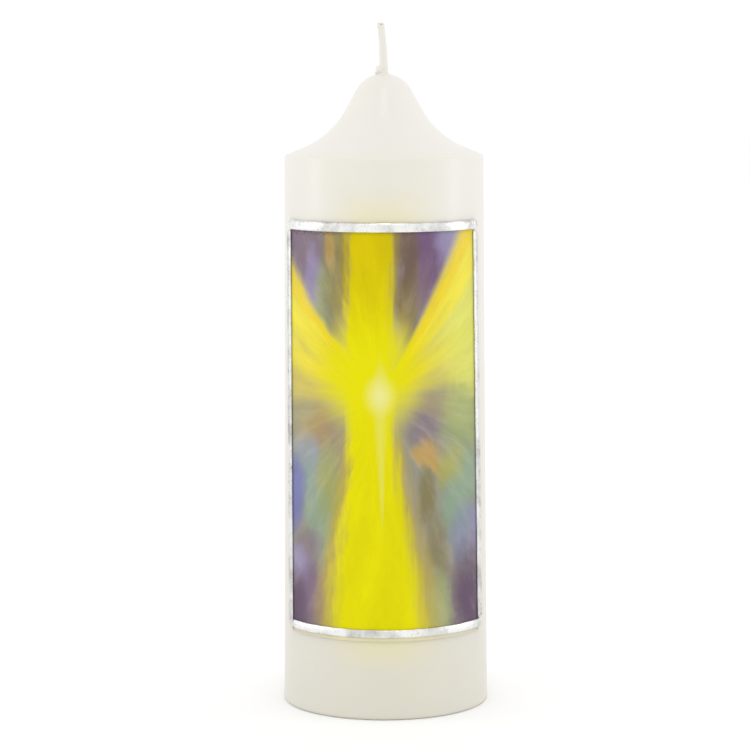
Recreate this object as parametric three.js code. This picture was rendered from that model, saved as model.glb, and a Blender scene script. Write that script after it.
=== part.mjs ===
// A decorated pillar candle with a bell-shaped top, standing on its base. A cast wax core carries a dipped
// coat of harder wax, and a braided wick runs right through it from a tin sustainer. A printed picture on a
// thin wax sheet is wrapped round the front, and four silvered wax strips over its edges make a frame.
// Millimetres, +Z up. The origin is the middle of the underside, and the picture faces -Y.
import * as THREE from "three";

// Candle body.
const BASE_DIAMETER = 70;
const WAX_HEIGHT = 214; // from the table to the crown of the bell top
const MOULD_DRAFT = 1.4; // how much smaller the radius is at the shoulder than at the foot
const FOOT_ROUND = 1.2;
const SHOULDER_ROUND = 1;
const COAT_THICKNESS = 1.6;

// Bell top, from the crown outwards: a round nose, a straight neck, a hollow cove and a sloping ledge.
const NOSE_RADIUS = 10.8;
const NECK_LENGTH = 7;
const NECK_ANGLE = THREE.MathUtils.degToRad(28.5); // from the vertical
const LEDGE_WIDTH = 6; // measured level, from the cove to the shoulder's corner
const LEDGE_SLOPE = THREE.MathUtils.degToRad(22); // below the horizontal, outwards

// Wick, its wax collar and its sustainer.
const WICK_DIAMETER = 2.7;
const WICK_STUB = 16.4; // above the crown
const WICK_LEAN = -1; // how far the tip has bent over, along X
const COLLAR_HEIGHT = 2.4;
const COLLAR_FOOT_RADIUS = 2.8;
const COLLAR_TOP_RADIUS = 1.9;
const SUSTAINER_DIAMETER = 15;
const SUSTAINER_SHEET = 0.3;
const SUSTAINER_NECK_HEIGHT = 3.2;
const SUSTAINER_RECESS = 0.4; // the disc sits this far above the table

// Picture and its backing sheet.
const PICTURE_WIDTH = 76.2; // round the candle
const PICTURE_FOOT = 26.9; // height of its lower edge over the table
const PICTURE_HEAD = 23.2; // depth of its upper edge under the shoulder
const PICTURE_TURN = THREE.MathUtils.degToRad(-1.6); // its middle, round from -Y towards +X
const PICTURE_LEAN = 1.75; // how much further round towards +X its foot sits than its head
const BACKING_THICKNESS = 0.35;
const BACKING_MARGIN = 0.5; // how far the print reaches past the backing sheet
const FILM_THICKNESS = 0.12;

// Silvered strips.
const STRIP_RISE = 1.4; // the strips' outer face over the candle's wall
const TOP_STRIP_WIDTH = 3.2;
const BOTTOM_STRIP_WIDTH = 2.8;
const LEFT_STRIP_WIDTH = 3;
const RIGHT_STRIP_WIDTH = 3.2;
const STRIP_LAP = 0.8; // how far the top and side strips cover the picture
const PICTURE_SHOW = 1.2; // what shows of the picture's lower edge under the bottom strip
const LEFT_STRIP_TAIL = 0.4; // the left strip runs this far below the bottom one
const DRAPE_SLACK = 0.15; // a strip's underside stays at the print's level this far past its edge
const DRAPE_RUN = 0.45; // and comes down to the wall over this distance

// Clearances.
const LAYER_GAP = 0.08; // between a sheet and what it lies on
const JOINT_GAP = 0.3; // between the ends and edges of neighbouring pieces
const WICK_CLEARANCE = 0.15;
const SUSTAINER_CLEARANCE = 0.3;

// Facets.
const BODY_SIDES = 60;
const SMALL_SIDES = 24;
const WICK_SIDES = 12;
const WICK_STEPS = 40;
const NOSE_STEPS = 5;
const COVE_STEPS = 6;
const ROUND_STEPS = 3;
const STEP_ANGLE = THREE.MathUtils.degToRad(4); // of the sheets and strips, round the candle

// Worked out from the sizes above.
const baseRadius = BASE_DIAMETER / 2;
const shoulderRadius = baseRadius - MOULD_DRAFT;
const wickRadius = WICK_DIAMETER / 2;
const channelRadius = wickRadius + WICK_CLEARANCE;
const neckNormal = new THREE.Vector2(Math.cos(NECK_ANGLE), Math.sin(NECK_ANGLE));
const neckUp = new THREE.Vector2(-Math.sin(NECK_ANGLE), Math.cos(NECK_ANGLE));
const ledgeNormal = new THREE.Vector2(Math.sin(LEDGE_SLOPE), Math.cos(LEDGE_SLOPE));
const bell = bellTop();

// The centres and radii of the bell top's arcs. The cove fills what is left between the neck and the ledge.
function bellTop() {
  const nose = new THREE.Vector2(0, WAX_HEIGHT - NOSE_RADIUS);
  const neckFoot = nose
    .clone()
    .addScaledVector(neckNormal, NOSE_RADIUS)
    .addScaledVector(neckUp, -NECK_LENGTH);
  const coveSpan = shoulderRadius - LEDGE_WIDTH - neckFoot.x;
  const coveRadius = coveSpan / (neckNormal.x - ledgeNormal.x);
  const cove = neckFoot.clone().addScaledVector(neckNormal, coveRadius);
  const coveFoot = cove.clone().addScaledVector(ledgeNormal, -coveRadius);
  const shoulderHeight = coveFoot.y - LEDGE_WIDTH * Math.tan(LEDGE_SLOPE);
  return { nose, cove, coveRadius, shoulderHeight };
}

// The wall's radius at a height.
function wallRadius(z) {
  return baseRadius - (MOULD_DRAFT * z) / bell.shoulderHeight;
}

// The height of the nose at a radius, for a surface that lies `inset` under the candle's own.
function noseHeight(radius, inset) {
  return bell.nose.y + Math.sqrt((NOSE_RADIUS - inset) ** 2 - radius ** 2);
}

// The angles from `from` to `to` in equal steps, both ends included.
function anglesBetween(from, to, steps) {
  return Array.from({ length: steps + 1 }, (_, i) => from + ((to - from) * i) / steps);
}

// Points of an arc. The angle is measured from the r axis towards +Z.
function arcPoints(centre, radius, from, to, steps) {
  return anglesBetween(from, to, steps).map(
    (a) => new THREE.Vector2(centre.x + radius * Math.cos(a), centre.y + radius * Math.sin(a)),
  );
}

// A corner between two straight lines, rounded to `radius`, or left sharp where the radius is 0.
// The lines' outward normals stand at the angles `from` and `to`.
function roundedCorner(corner, radius, from, to) {
  if (radius <= 0) return [corner];
  const half = (from - to) / 2;
  const middle = (from + to) / 2;
  const away = radius / Math.cos(half);
  const centre = new THREE.Vector2(
    corner.x - away * Math.cos(middle),
    corner.y - away * Math.sin(middle),
  );
  return arcPoints(centre, radius, from, to, ROUND_STEPS);
}

// The outline from the wick channel at the crown down to the table, for a surface `inset` under the candle's.
function outline(inset) {
  const neckTurn = NECK_ANGLE;
  const ledgeTurn = Math.PI / 2 - LEDGE_SLOPE;
  const noseRadius = NOSE_RADIUS - inset;
  const noseStart = Math.acos(channelRadius / noseRadius);
  const wallTurn = Math.atan2(MOULD_DRAFT, bell.shoulderHeight);
  const footRadius = baseRadius - inset / Math.cos(wallTurn);
  const shoulder = shoulderCorner(inset, wallTurn, footRadius);
  return [
    ...arcPoints(bell.nose, noseRadius, noseStart, neckTurn, NOSE_STEPS),
    ...arcPoints(bell.cove, bell.coveRadius + inset, Math.PI + neckTurn, Math.PI + ledgeTurn, COVE_STEPS),
    ...roundedCorner(shoulder, SHOULDER_ROUND - inset, ledgeTurn, wallTurn),
    ...roundedCorner(new THREE.Vector2(footRadius, 0), FOOT_ROUND - inset, wallTurn, -Math.PI / 2),
  ];
}

// Where the ledge and the wall would meet without a round, both moved in by `inset`.
function shoulderCorner(inset, wallTurn, footRadius) {
  const ledgeDrop = Math.tan(LEDGE_SLOPE);
  const ledgeLevel = bell.shoulderHeight - inset / Math.cos(LEDGE_SLOPE) + shoulderRadius * ledgeDrop;
  const lean = Math.tan(wallTurn);
  const z = (ledgeLevel - footRadius * ledgeDrop) / (1 - lean * ledgeDrop);
  return new THREE.Vector2(footRadius - z * lean, z);
}

// A solid turned round the candle's axis from a closed outline, given anticlockwise with r to the right.
function turned(points, sides) {
  return new THREE.LatheGeometry([...points, points[0]], sides).rotateX(Math.PI / 2);
}

function point(r, z) {
  return new THREE.Vector2(r, z);
}

// The dipped coat: a shell from the wick channel to the table, open underneath.
function dipCoat() {
  const outside = outline(0);
  const inside = outline(COAT_THICKNESS);
  return turned([...inside, ...outside.reverse()], BODY_SIDES);
}

// The cast core, with the wick channel through it and a pocket for the sustainer in its underside.
function waxCore() {
  const outside = outline(COAT_THICKNESS + LAYER_GAP);
  const pocketTop = SUSTAINER_RECESS + SUSTAINER_SHEET + LAYER_GAP;
  const pocketRadius = SUSTAINER_DIAMETER / 2 + SUSTAINER_CLEARANCE;
  const socketTop = SUSTAINER_RECESS + SUSTAINER_NECK_HEIGHT + SUSTAINER_CLEARANCE;
  const socketRadius = sustainerBore() + SUSTAINER_SHEET + SUSTAINER_CLEARANCE;
  const underside = [
    point(channelRadius, socketTop),
    point(socketRadius, socketTop),
    point(socketRadius, pocketTop),
    point(pocketRadius, pocketTop),
    point(pocketRadius, 0),
  ];
  return turned([...underside, ...outside.reverse()], BODY_SIDES);
}

function sustainerBore() {
  return wickRadius + LAYER_GAP;
}

// The pressed tin disc that holds the wick's foot in its short neck.
function wickSustainer() {
  const bore = sustainerBore();
  const low = SUSTAINER_RECESS;
  const neckTop = low + SUSTAINER_NECK_HEIGHT;
  return turned(
    [
      point(bore, low),
      point(SUSTAINER_DIAMETER / 2, low),
      point(SUSTAINER_DIAMETER / 2, low + SUSTAINER_SHEET),
      point(bore + SUSTAINER_SHEET, low + SUSTAINER_SHEET),
      point(bore + SUSTAINER_SHEET, neckTop),
      point(bore, neckTop),
    ],
    SMALL_SIDES,
  );
}

// The bead of wax that the last dip left round the wick's root.
function wickCollar() {
  const bore = channelRadius;
  const top = WAX_HEIGHT + COLLAR_HEIGHT;
  return turned(
    [
      point(bore, noseHeight(bore, 0) + LAYER_GAP),
      point(COLLAR_FOOT_RADIUS, noseHeight(COLLAR_FOOT_RADIUS, 0) + LAYER_GAP),
      point(COLLAR_TOP_RADIUS, top - COLLAR_HEIGHT / 2),
      point(COLLAR_TOP_RADIUS, top),
      point(bore, top),
    ],
    SMALL_SIDES,
  );
}

// The wick's line: straight through the candle, then bent over a little above the collar.
class WickLine extends THREE.Curve {
  getPoint(t, target = new THREE.Vector3()) {
    const foot = SUSTAINER_RECESS;
    const root = WAX_HEIGHT + COLLAR_HEIGHT;
    const tip = WAX_HEIGHT + WICK_STUB;
    const z = foot + (tip - foot) * t;
    const along = Math.max(0, (z - root) / (tip - root));
    return target.set(WICK_LEAN * along ** 2, 0, z);
  }
}

function wick() {
  const section = new THREE.Shape().absarc(0, 0, wickRadius, 0, 2 * Math.PI);
  return new THREE.ExtrudeGeometry(section, {
    extrudePath: new WickLine(),
    steps: WICK_STEPS,
    curveSegments: WICK_SIDES / 2,
  });
}

// The edges of the picture, as angles round from -Y and heights.
const picture = {
  left: PICTURE_TURN - PICTURE_WIDTH / 2 / baseRadius,
  right: PICTURE_TURN + PICTURE_WIDTH / 2 / baseRadius,
  low: PICTURE_FOOT,
  high: bell.shoulderHeight - PICTURE_HEAD,
};
const backingFace = LAYER_GAP + BACKING_THICKNESS;
const filmFace = backingFace + LAYER_GAP + FILM_THICKNESS;
const lapAngle = STRIP_LAP / baseRadius;
const gapAngle = JOINT_GAP / baseRadius;

// A box bent round the candle. Its columns stand at the angles `turns` and its rows at the `heights`. `under`
// gives its inner face's rise over the wall at an angle and a height, and `over` its outer face's rise.
// All of it leans with the picture.
function wrapped(turns, heights, under, over) {
  const columns = turns.length - 1;
  const rows = heights.length - 1;
  const middle = (picture.low + picture.high) / 2;
  const lean = -PICTURE_LEAN / (picture.high - picture.low) / baseRadius;
  const slab = new THREE.BoxGeometry(1, 1, 1, columns, rows, 1);
  const place = slab.attributes.position;
  for (let i = 0; i < place.count; i++) {
    const turn = turns[Math.round((place.getX(i) + 0.5) * columns)];
    const z = heights[Math.round((place.getY(i) + 0.5) * rows)];
    const rise = place.getZ(i) > 0 ? over : under(turn, z);
    const r = wallRadius(z) + rise;
    const leant = turn + lean * (z - middle);
    place.setXYZ(i, r * Math.sin(leant), -r * Math.cos(leant), z);
  }
  return slab;
}

// The angles from one side to the other in steps of about STEP_ANGLE.
function turnsBetween(from, to) {
  return anglesBetween(from, to, Math.ceil((to - from) / STEP_ANGLE));
}

function pictureBacking() {
  const inset = BACKING_MARGIN / baseRadius;
  const turns = turnsBetween(picture.left + inset, picture.right - inset);
  const heights = [picture.low + BACKING_MARGIN, picture.high - BACKING_MARGIN];
  return wrapped(turns, heights, () => LAYER_GAP, backingFace);
}

function pictureFilm() {
  const turns = turnsBetween(picture.left, picture.right);
  return wrapped(turns, [picture.low, picture.high], () => backingFace + LAYER_GAP, filmFace);
}

// The rise of a strip's underside: over the print as far as its edges and a little past them, and down on the
// wall beyond.
function drape(turn, z) {
  const past = Math.max(
    (picture.left - turn) * baseRadius,
    (turn - picture.right) * baseRadius,
    picture.low - z,
    z - picture.high,
  );
  return past < DRAPE_SLACK + DRAPE_RUN / 2 ? filmFace + LAYER_GAP : LAYER_GAP;
}

// A strip between two angles and two heights. Where it crosses an edge of the picture it has a column or
// row at each end of its underside's step.
function strip(left, right, low, high) {
  const reaches = [DRAPE_SLACK + DRAPE_RUN, DRAPE_SLACK];
  const turnStops = [
    ...reaches.map((reach) => picture.left - reach / baseRadius),
    ...reaches.map((reach) => picture.right + reach / baseRadius).reverse(),
  ];
  const heightStops = [
    ...reaches.map((reach) => picture.low - reach),
    ...reaches.map((reach) => picture.high + reach).reverse(),
  ];
  const stops = [left, ...turnStops.filter((turn) => turn > left && turn < right), right];
  const turns = stops.flatMap((stop, i) => (i ? turnsBetween(stops[i - 1], stop).slice(1) : [stop]));
  const heights = [low, ...heightStops.filter((z) => z > low && z < high), high];
  return wrapped(turns, heights, drape, STRIP_RISE);
}

// Where the strips' edges stand. The side strips' inner edges lap the picture, and the top strip ends
// flush with their outer edges.
const frame = {
  leftOuter: picture.left + lapAngle - LEFT_STRIP_WIDTH / baseRadius,
  leftInner: picture.left + lapAngle,
  rightInner: picture.right - lapAngle,
  rightOuter: picture.right - lapAngle + RIGHT_STRIP_WIDTH / baseRadius,
  topLow: picture.high - STRIP_LAP,
  bottomLow: picture.low + PICTURE_SHOW,
};

function topStrip() {
  return strip(frame.leftOuter, frame.rightOuter, frame.topLow, frame.topLow + TOP_STRIP_WIDTH);
}

// The bottom strip butts against the left strip and passes under the right one's foot.
function bottomStrip() {
  const low = frame.bottomLow;
  return strip(frame.leftInner + gapAngle, frame.rightOuter, low, low + BOTTOM_STRIP_WIDTH);
}

function leftStrip() {
  const low = frame.bottomLow - LEFT_STRIP_TAIL;
  return strip(frame.leftOuter, frame.leftInner, low, frame.topLow - JOINT_GAP);
}

function rightStrip() {
  const low = frame.bottomLow + BOTTOM_STRIP_WIDTH + JOINT_GAP;
  return strip(frame.rightInner, frame.rightOuter, low, frame.topLow - JOINT_GAP);
}

const finishes = {
  coat: new THREE.MeshStandardMaterial({ color: 0xeeebe1, roughness: 0.38, metalness: 0 }),
  core: new THREE.MeshStandardMaterial({ color: 0xe9e4d2, roughness: 0.55, metalness: 0 }),
  cotton: new THREE.MeshStandardMaterial({ color: 0xe9e6da, roughness: 0.8, metalness: 0 }),
  tin: new THREE.MeshStandardMaterial({ color: 0xb9bbbd, roughness: 0.35, metalness: 1 }),
  sheet: new THREE.MeshStandardMaterial({ color: 0xf2f0e8, roughness: 0.5, metalness: 0 }),
  print: new THREE.MeshStandardMaterial({ color: 0xc9bd2e, roughness: 0.45, metalness: 0 }),
  silver: new THREE.MeshStandardMaterial({ color: 0xd9dadd, roughness: 0.28, metalness: 0.9 }),
};

// Puts a named piece into the assembly.
function add(assembly, name, geometry, material) {
  const mesh = new THREE.Mesh(geometry, material);
  mesh.name = name;
  assembly.add(mesh);
}

const candle = new THREE.Group();
add(candle, "wax_core", waxCore(), finishes.core);
add(candle, "dip_coat", dipCoat(), finishes.coat);
add(candle, "wick", wick(), finishes.cotton);
add(candle, "wick_collar", wickCollar(), finishes.coat);
add(candle, "wick_sustainer", wickSustainer(), finishes.tin);

const decoration = new THREE.Group();
add(decoration, "picture_backing", pictureBacking(), finishes.sheet);
add(decoration, "picture_film", pictureFilm(), finishes.print);
add(decoration, "strip_top", topStrip(), finishes.silver);
add(decoration, "strip_bottom", bottomStrip(), finishes.silver);
add(decoration, "strip_left", leftStrip(), finishes.silver);
add(decoration, "strip_right", rightStrip(), finishes.silver);
candle.add(decoration);

export default candle;
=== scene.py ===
"""Visual model of a decorated pillar candle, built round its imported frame.

Everything is in metres in the frame's own axes: +Z up, the picture facing -Y, and the origin in the middle
of the underside. The candle is a cast core in a dipped coat, with a braided wick that runs through both. A
print on a thin wax sheet is wrapped round the front, and four silvered wax strips frame it.
"""

import logging
import math
from collections.abc import Iterable, Sequence
from dataclasses import dataclass
from enum import Enum

import bpy
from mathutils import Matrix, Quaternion, Vector


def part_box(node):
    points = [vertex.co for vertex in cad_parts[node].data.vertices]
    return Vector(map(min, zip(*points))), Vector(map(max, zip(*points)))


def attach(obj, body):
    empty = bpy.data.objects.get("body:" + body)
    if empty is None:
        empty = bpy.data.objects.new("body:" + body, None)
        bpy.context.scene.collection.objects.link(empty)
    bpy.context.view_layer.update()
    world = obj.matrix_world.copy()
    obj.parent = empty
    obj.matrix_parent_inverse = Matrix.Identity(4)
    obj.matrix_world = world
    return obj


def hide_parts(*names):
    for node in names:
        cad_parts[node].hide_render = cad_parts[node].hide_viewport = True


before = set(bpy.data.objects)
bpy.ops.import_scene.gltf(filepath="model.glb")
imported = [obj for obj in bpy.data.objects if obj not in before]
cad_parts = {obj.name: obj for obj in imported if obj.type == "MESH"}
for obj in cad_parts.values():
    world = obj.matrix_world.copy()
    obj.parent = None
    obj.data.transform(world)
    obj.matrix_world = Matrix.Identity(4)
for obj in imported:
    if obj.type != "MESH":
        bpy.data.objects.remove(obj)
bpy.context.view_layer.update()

MM = 0.001
BODY = "root"

Colour = tuple[float, float, float]
Point = tuple[float, float]

log = logging.getLogger("candle")


def srgb(red: int, green: int, blue: int) -> Colour:
    """A colour given as it looks on a screen, made linear.

    Args:
        red: Red from 0 to 255.
        green: Green from 0 to 255.
        blue: Blue from 0 to 255.

    Returns:
        The three linear values, from 0 to 1.
    """

    def linear(level: int) -> float:
        """One channel made linear."""
        share = level / 255
        return share / 12.92 if share <= 0.04045 else ((share + 0.055) / 1.055) ** 2.4

    return linear(red), linear(green), linear(blue)


# ---------------------------------------------------------------------------------------------- node graphs


class Term:
    """A node's output that can be written in an expression."""

    def __init__(self, graph: "Graph", socket: bpy.types.NodeSocket) -> None:
        """Keeps the socket and the graph that its expressions are added to."""
        self.graph = graph
        self.socket = socket

    def __add__(self, other: "Input") -> "Term":
        """self + other."""
        return self.graph.joined("ADD", self, other)

    def __radd__(self, other: "Input") -> "Term":
        """other + self."""
        return self.graph.joined("ADD", other, self)

    def __sub__(self, other: "Input") -> "Term":
        """self - other."""
        return self.graph.joined("SUBTRACT", self, other)

    def __rsub__(self, other: "Input") -> "Term":
        """other - self."""
        return self.graph.joined("SUBTRACT", other, self)

    def __mul__(self, other: "Input") -> "Term":
        """self * other."""
        return self.graph.joined("MULTIPLY", self, other)

    def __rmul__(self, other: "Input") -> "Term":
        """other * self."""
        return self.graph.joined("MULTIPLY", other, self)

    def __truediv__(self, other: "Input") -> "Term":
        """self / other."""
        return self.graph.joined("DIVIDE", self, other)

    def __rtruediv__(self, other: "Input") -> "Term":
        """other / self."""
        return self.graph.joined("DIVIDE", other, self)

    def __abs__(self) -> "Term":
        """The size of self without its sign."""
        return self.graph.maths("ABSOLUTE", self)

    def output(self, name: str) -> "Term":
        """Another output of the same node."""
        return Term(self.graph, find_socket(self.socket.node.outputs, name))

    def ramped(self, low: float, high: float) -> "Term":
        """0 at low and 1 at high, with a smooth start and end.

        Args:
            low: The value that gives 0. It may be the larger of the two.
            high: The value that gives 1.

        Returns:
            The eased share.
        """
        span = {"Value": self, "From Min": low, "From Max": high}
        return self.graph.add("ShaderNodeMapRange", span, interpolation_type="SMOOTHSTEP")

    def clamped(self, low: float = 0.0, high: float = 1.0) -> "Term":
        """self kept between low and high."""
        return self.graph.add("ShaderNodeClamp", {"Value": self, "Min": low, "Max": high})


Input = Term | float | int | bool | str | Sequence[float] | bpy.types.Material


def find_socket(sockets: bpy.types.bpy_prop_collection, key: str | int) -> bpy.types.NodeSocket:
    """A node's socket by its identifier, its name or its place.

    Args:
        sockets: The node's inputs or outputs.
        key: The identifier, or the name of one that is in use, or the place.

    Returns:
        The socket.
    """
    if isinstance(key, int):
        return sockets[key]
    for socket in sockets:
        if socket.identifier == key:
            return socket
    return next(socket for socket in sockets if socket.name == key and socket.enabled)


class Graph:
    """A node tree that is built by expressions."""

    def __init__(self, tree: bpy.types.NodeTree) -> None:
        """Keeps the tree that nodes are added to."""
        self.tree = tree

    def feed(self, socket: bpy.types.NodeSocket, value: Input) -> None:
        """Links a socket to a term, or sets its value.

        Args:
            socket: The input.
            value: A term, or the socket's own value. A number fills all three places of a vector.
        """
        if isinstance(value, Term):
            self.tree.links.new(value.socket, socket)
        elif socket.type == "VECTOR" and isinstance(value, (int, float)):
            socket.default_value = (value,) * 3
        elif socket.type == "RGBA" and len(value) == 3:
            socket.default_value = (*value, 1.0)
        else:
            socket.default_value = value

    def add(
        self,
        kind: str,
        inputs: dict[str | int, Input] | None = None,
        output: str | int = 0,
        **settings: object,
    ) -> Term:
        """Adds any node.

        Args:
            kind: The node's type.
            inputs: Values or terms for its inputs.
            output: The output wanted.
            settings: The node's own settings, which are set first.

        Returns:
            The output as a term.
        """
        node = self.tree.nodes.new(kind)
        for name, value in settings.items():
            setattr(node, name, value)
        for key, value in (inputs or {}).items():
            self.feed(find_socket(node.inputs, key), value)
        return Term(self, find_socket(node.outputs, output))

    def maths(self, operation: str, *values: Input) -> Term:
        """A Math node on one, two or three values."""
        return self.add("ShaderNodeMath", dict(enumerate(values)), operation=operation)

    def measured(self, operation: str, *vectors: Input) -> Term:
        """A Vector Math node whose result is a number."""
        return self.add("ShaderNodeVectorMath", dict(enumerate(vectors)), output="Value", operation=operation)

    def joined(self, operation: str, first: Input, second: Input) -> Term:
        """A Math node, or a Vector Math node where either side is a vector.

        Args:
            operation: The operation, which both kinds of node know.
            first: The left side.
            second: The right side.

        Returns:
            The result.
        """
        if is_vector(first) or is_vector(second):
            return self.add("ShaderNodeVectorMath", {0: first, 1: second}, operation=operation)
        return self.maths(operation, first, second)

    def split(self, vector: Term) -> tuple[Term, Term, Term]:
        """The three parts of a vector."""
        parts = self.add("ShaderNodeSeparateXYZ", {0: vector}, output="X")
        return parts, parts.output("Y"), parts.output("Z")

    def vector(self, x: Input, y: Input, z: Input) -> Term:
        """A vector from its three parts."""
        return self.add("ShaderNodeCombineXYZ", {0: x, 1: y, 2: z})

    def noise(self, place: Term, scale: Input, detail: float = 2.0, roughness: float = 0.5) -> Term:
        """Smooth noise from 0 to 1.

        Args:
            place: Where it is read.
            scale: Cycles for each unit of place.
            detail: How many finer layers it has.
            roughness: How strong the finer layers are.

        Returns:
            The noise as a number. Its Color output holds three different noises.
        """
        values = {"Vector": place, "Scale": scale, "Detail": detail, "Roughness": roughness}
        return self.add("ShaderNodeTexNoise", values, output="Fac")

    def mixed(self, share: Input, first: Input, second: Input, blend: str = "MIX") -> Term:
        """One colour over another.

        Args:
            share: How much of the second colour shows.
            first: The colour underneath.
            second: The colour on top.
            blend: How they join.

        Returns:
            The colour.
        """
        values = {"Factor_Float": share, "A_Color": first, "B_Color": second}
        kind = {"data_type": "RGBA", "blend_type": blend, "clamp_factor": True}
        return self.add("ShaderNodeMix", values, output="Result_Color", **kind)


def is_vector(value: Input) -> bool:
    """True for a vector term and for three numbers."""
    return value.socket.type == "VECTOR" if isinstance(value, Term) else isinstance(value, (tuple, list))


# ------------------------------------------------------------------------------------------------- finishes


class Finish:
    """A material. Each finish sets what is even, and paints what changes over the surface."""

    def material(self, name: str) -> bpy.types.Material:
        """Makes the material.

        Args:
            name: Its name.

        Returns:
            The material, with one Principled shader.
        """
        made = bpy.data.materials.new(name)
        made.use_nodes = True
        graph = Graph(made.node_tree)
        shader = next(node for node in made.node_tree.nodes if node.type == "BSDF_PRINCIPLED")
        for socket, value in self.even().items():
            graph.feed(shader.inputs[socket], value)
        for socket, value in self.painted(graph).items():
            graph.feed(shader.inputs[socket], value)
        return made

    def even(self) -> dict[str, Input]:
        """The shader's values that are the same all over."""
        return {}

    def painted(self, graph: Graph) -> dict[str, Input]:
        """The shader's inputs that change over the surface."""
        raise NotImplementedError

    def bumped(self, graph: Graph, height: Term, distance: float, strength: float = 1.0) -> Term:
        """A normal from a height.

        Args:
            graph: The material's graph.
            height: The height, from 0 to 1.
            distance: How far 1 stands over 0, in metres.
            strength: How much of it counts.

        Returns:
            The normal.
        """
        values = {"Strength": strength, "Distance": distance, "Height": height}
        return graph.add("ShaderNodeBump", values)

    def place(self, graph: Graph) -> Term:
        """The point on the piece, in metres."""
        return graph.add("ShaderNodeTexCoord", output="Object")


@dataclass(frozen=True)
class DippedWax(Finish):
    """Ivory wax with a soft gloss, faintly blotched, with a few air specks, and painted light: lighter at the
    top, with a painted glow of the print's yellow light through the wax round it.

    picture_low and picture_high are the heights of the print's edges, and height is the candle's own.
    """

    picture_low: float
    picture_high: float
    height: float
    # upper and lower are painted light and shade: the wax is lighter at the top and darker towards the foot.
    upper: Colour = srgb(224, 221, 214)
    lower: Colour = srgb(211, 208, 198)
    # warm serves two things: random blotch tone, and a painted glow of light through the wax on the front
    # wall.
    warm: Colour = srgb(219, 214, 190)
    # glow is painted light: the print's yellow glowing through the wax over and under it.
    glow: Colour = srgb(224, 217, 160)
    speck: Colour = srgb(250, 249, 246)
    roughness: float = 0.24

    def even(self) -> dict[str, Input]:
        """A soft gloss."""
        return {"Specular IOR Level": 0.4, "IOR": 1.44}

    def painted(self, graph: Graph) -> dict[str, Input]:
        """The ivory, with painted light: lighter towards the top, warmer on the front and round the print;
        with blotches, specks, gloss and fine unevenness.
        """
        place = self.place(graph)
        x, y, z = graph.split(place)
        # Painted light and shade: the wax grows lighter from the foot up to the top.
        colour = graph.mixed(z.ramped(0.0, self.height), self.lower, self.upper)
        blotch = graph.noise(place, 38.0, 3.0).ramped(0.42, 0.68)
        # Random blotches, and on the front wall, the print's side, a painted warm glow of light through the
        # wax.
        facing = y.ramped(-22 * MM, -35 * MM)
        colour = graph.mixed(blotch * 0.1 + facing * 0.22, colour, self.warm)
        # Painted glow: the print's yellow light through the wax, just over and under its middle.
        low, high = self.picture_low, self.picture_high
        over = z.ramped(high + 16 * MM, high + 2 * MM) * z.ramped(high - 4 * MM, high)
        under = z.ramped(low - 13 * MM, low) * z.ramped(low + 4 * MM, low)
        middle = abs(x + 1 * MM).ramped(24 * MM, 2 * MM) * facing
        colour = graph.mixed((over + under) * middle * 0.55, colour, self.glow)
        cells = graph.add(
            "ShaderNodeTexVoronoi", {"Vector": place * (1.0, 1.0, 0.5), "Scale": 95.0, "Randomness": 1.0}
        )
        few = graph.noise(place, 21.0, 0.0).ramped(0.62, 0.7)
        speck = cells.ramped(0.085, 0.04) * few
        colour = graph.mixed(speck * 0.5, colour, self.speck)
        gloss = graph.noise(place, 60.0, 4.0)
        ripple = graph.noise(place * (1.0, 1.0, 0.35), 170.0, 3.0) + speck * 0.25
        return {
            "Base Color": colour,
            "Roughness": gloss * 0.12 + self.roughness,
            "Normal": self.bumped(graph, ripple, 0.06 * MM, 0.6),
        }


@dataclass(frozen=True)
class CastWax(Finish):
    """The core's plain cream wax, trued flat underneath, where the cutter has left faint rings."""

    cream: Colour = srgb(228, 222, 203)
    pale: Colour = srgb(238, 235, 224)
    ring_pitch: float = 0.9 * MM

    def even(self) -> dict[str, Input]:
        """A dull gloss."""
        return {"Specular IOR Level": 0.35, "IOR": 1.44}

    def painted(self, graph: Graph) -> dict[str, Input]:
        """Cream with paler crystals, and rings round the axis on the underside."""
        place = self.place(graph)
        x, y, z = graph.split(place)
        crystals = graph.noise(place, 240.0, 5.0, 0.65)
        radius = graph.maths("SQRT", x * x + y * y)
        wander = graph.noise(place, 55.0, 2.0) * 0.6 * MM
        rings = graph.maths("SINE", (radius + wander) * (2 * math.pi / self.ring_pitch)) * 0.5 + 0.5
        flat = z.ramped(0.6 * MM, 0.2 * MM)
        height = crystals * 0.5 + rings * flat * 0.5
        return {
            "Base Color": graph.mixed(crystals.ramped(0.35, 0.75), self.cream, self.pale),
            "Roughness": crystals * 0.2 + 0.42,
            "Normal": self.bumped(graph, height, 0.05 * MM),
        }


@dataclass(frozen=True)
class Cotton(Finish):
    """Waxed cotton yarn: off-white, with fine fibres along it."""

    yarn: Colour = srgb(232, 229, 218)
    shade: Colour = srgb(206, 201, 184)

    def even(self) -> dict[str, Input]:
        """A faint fuzz."""
        return {"Specular IOR Level": 0.25, "Sheen Weight": 0.15, "Sheen Roughness": 0.5}

    def painted(self, graph: Graph) -> dict[str, Input]:
        """Fibres, which run mostly upwards, with wax between them."""
        place = self.place(graph)
        fibres = graph.noise(place * (1.0, 1.0, 0.22), 5200.0, 3.0, 0.6)
        waxed = graph.noise(place, 700.0, 2.0)
        return {
            "Base Color": graph.mixed(fibres.ramped(0.3, 0.65), self.shade, self.yarn),
            "Roughness": waxed * -0.4 + 0.85,
            "Normal": self.bumped(graph, fibres, 0.04 * MM, 0.8),
        }


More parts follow.
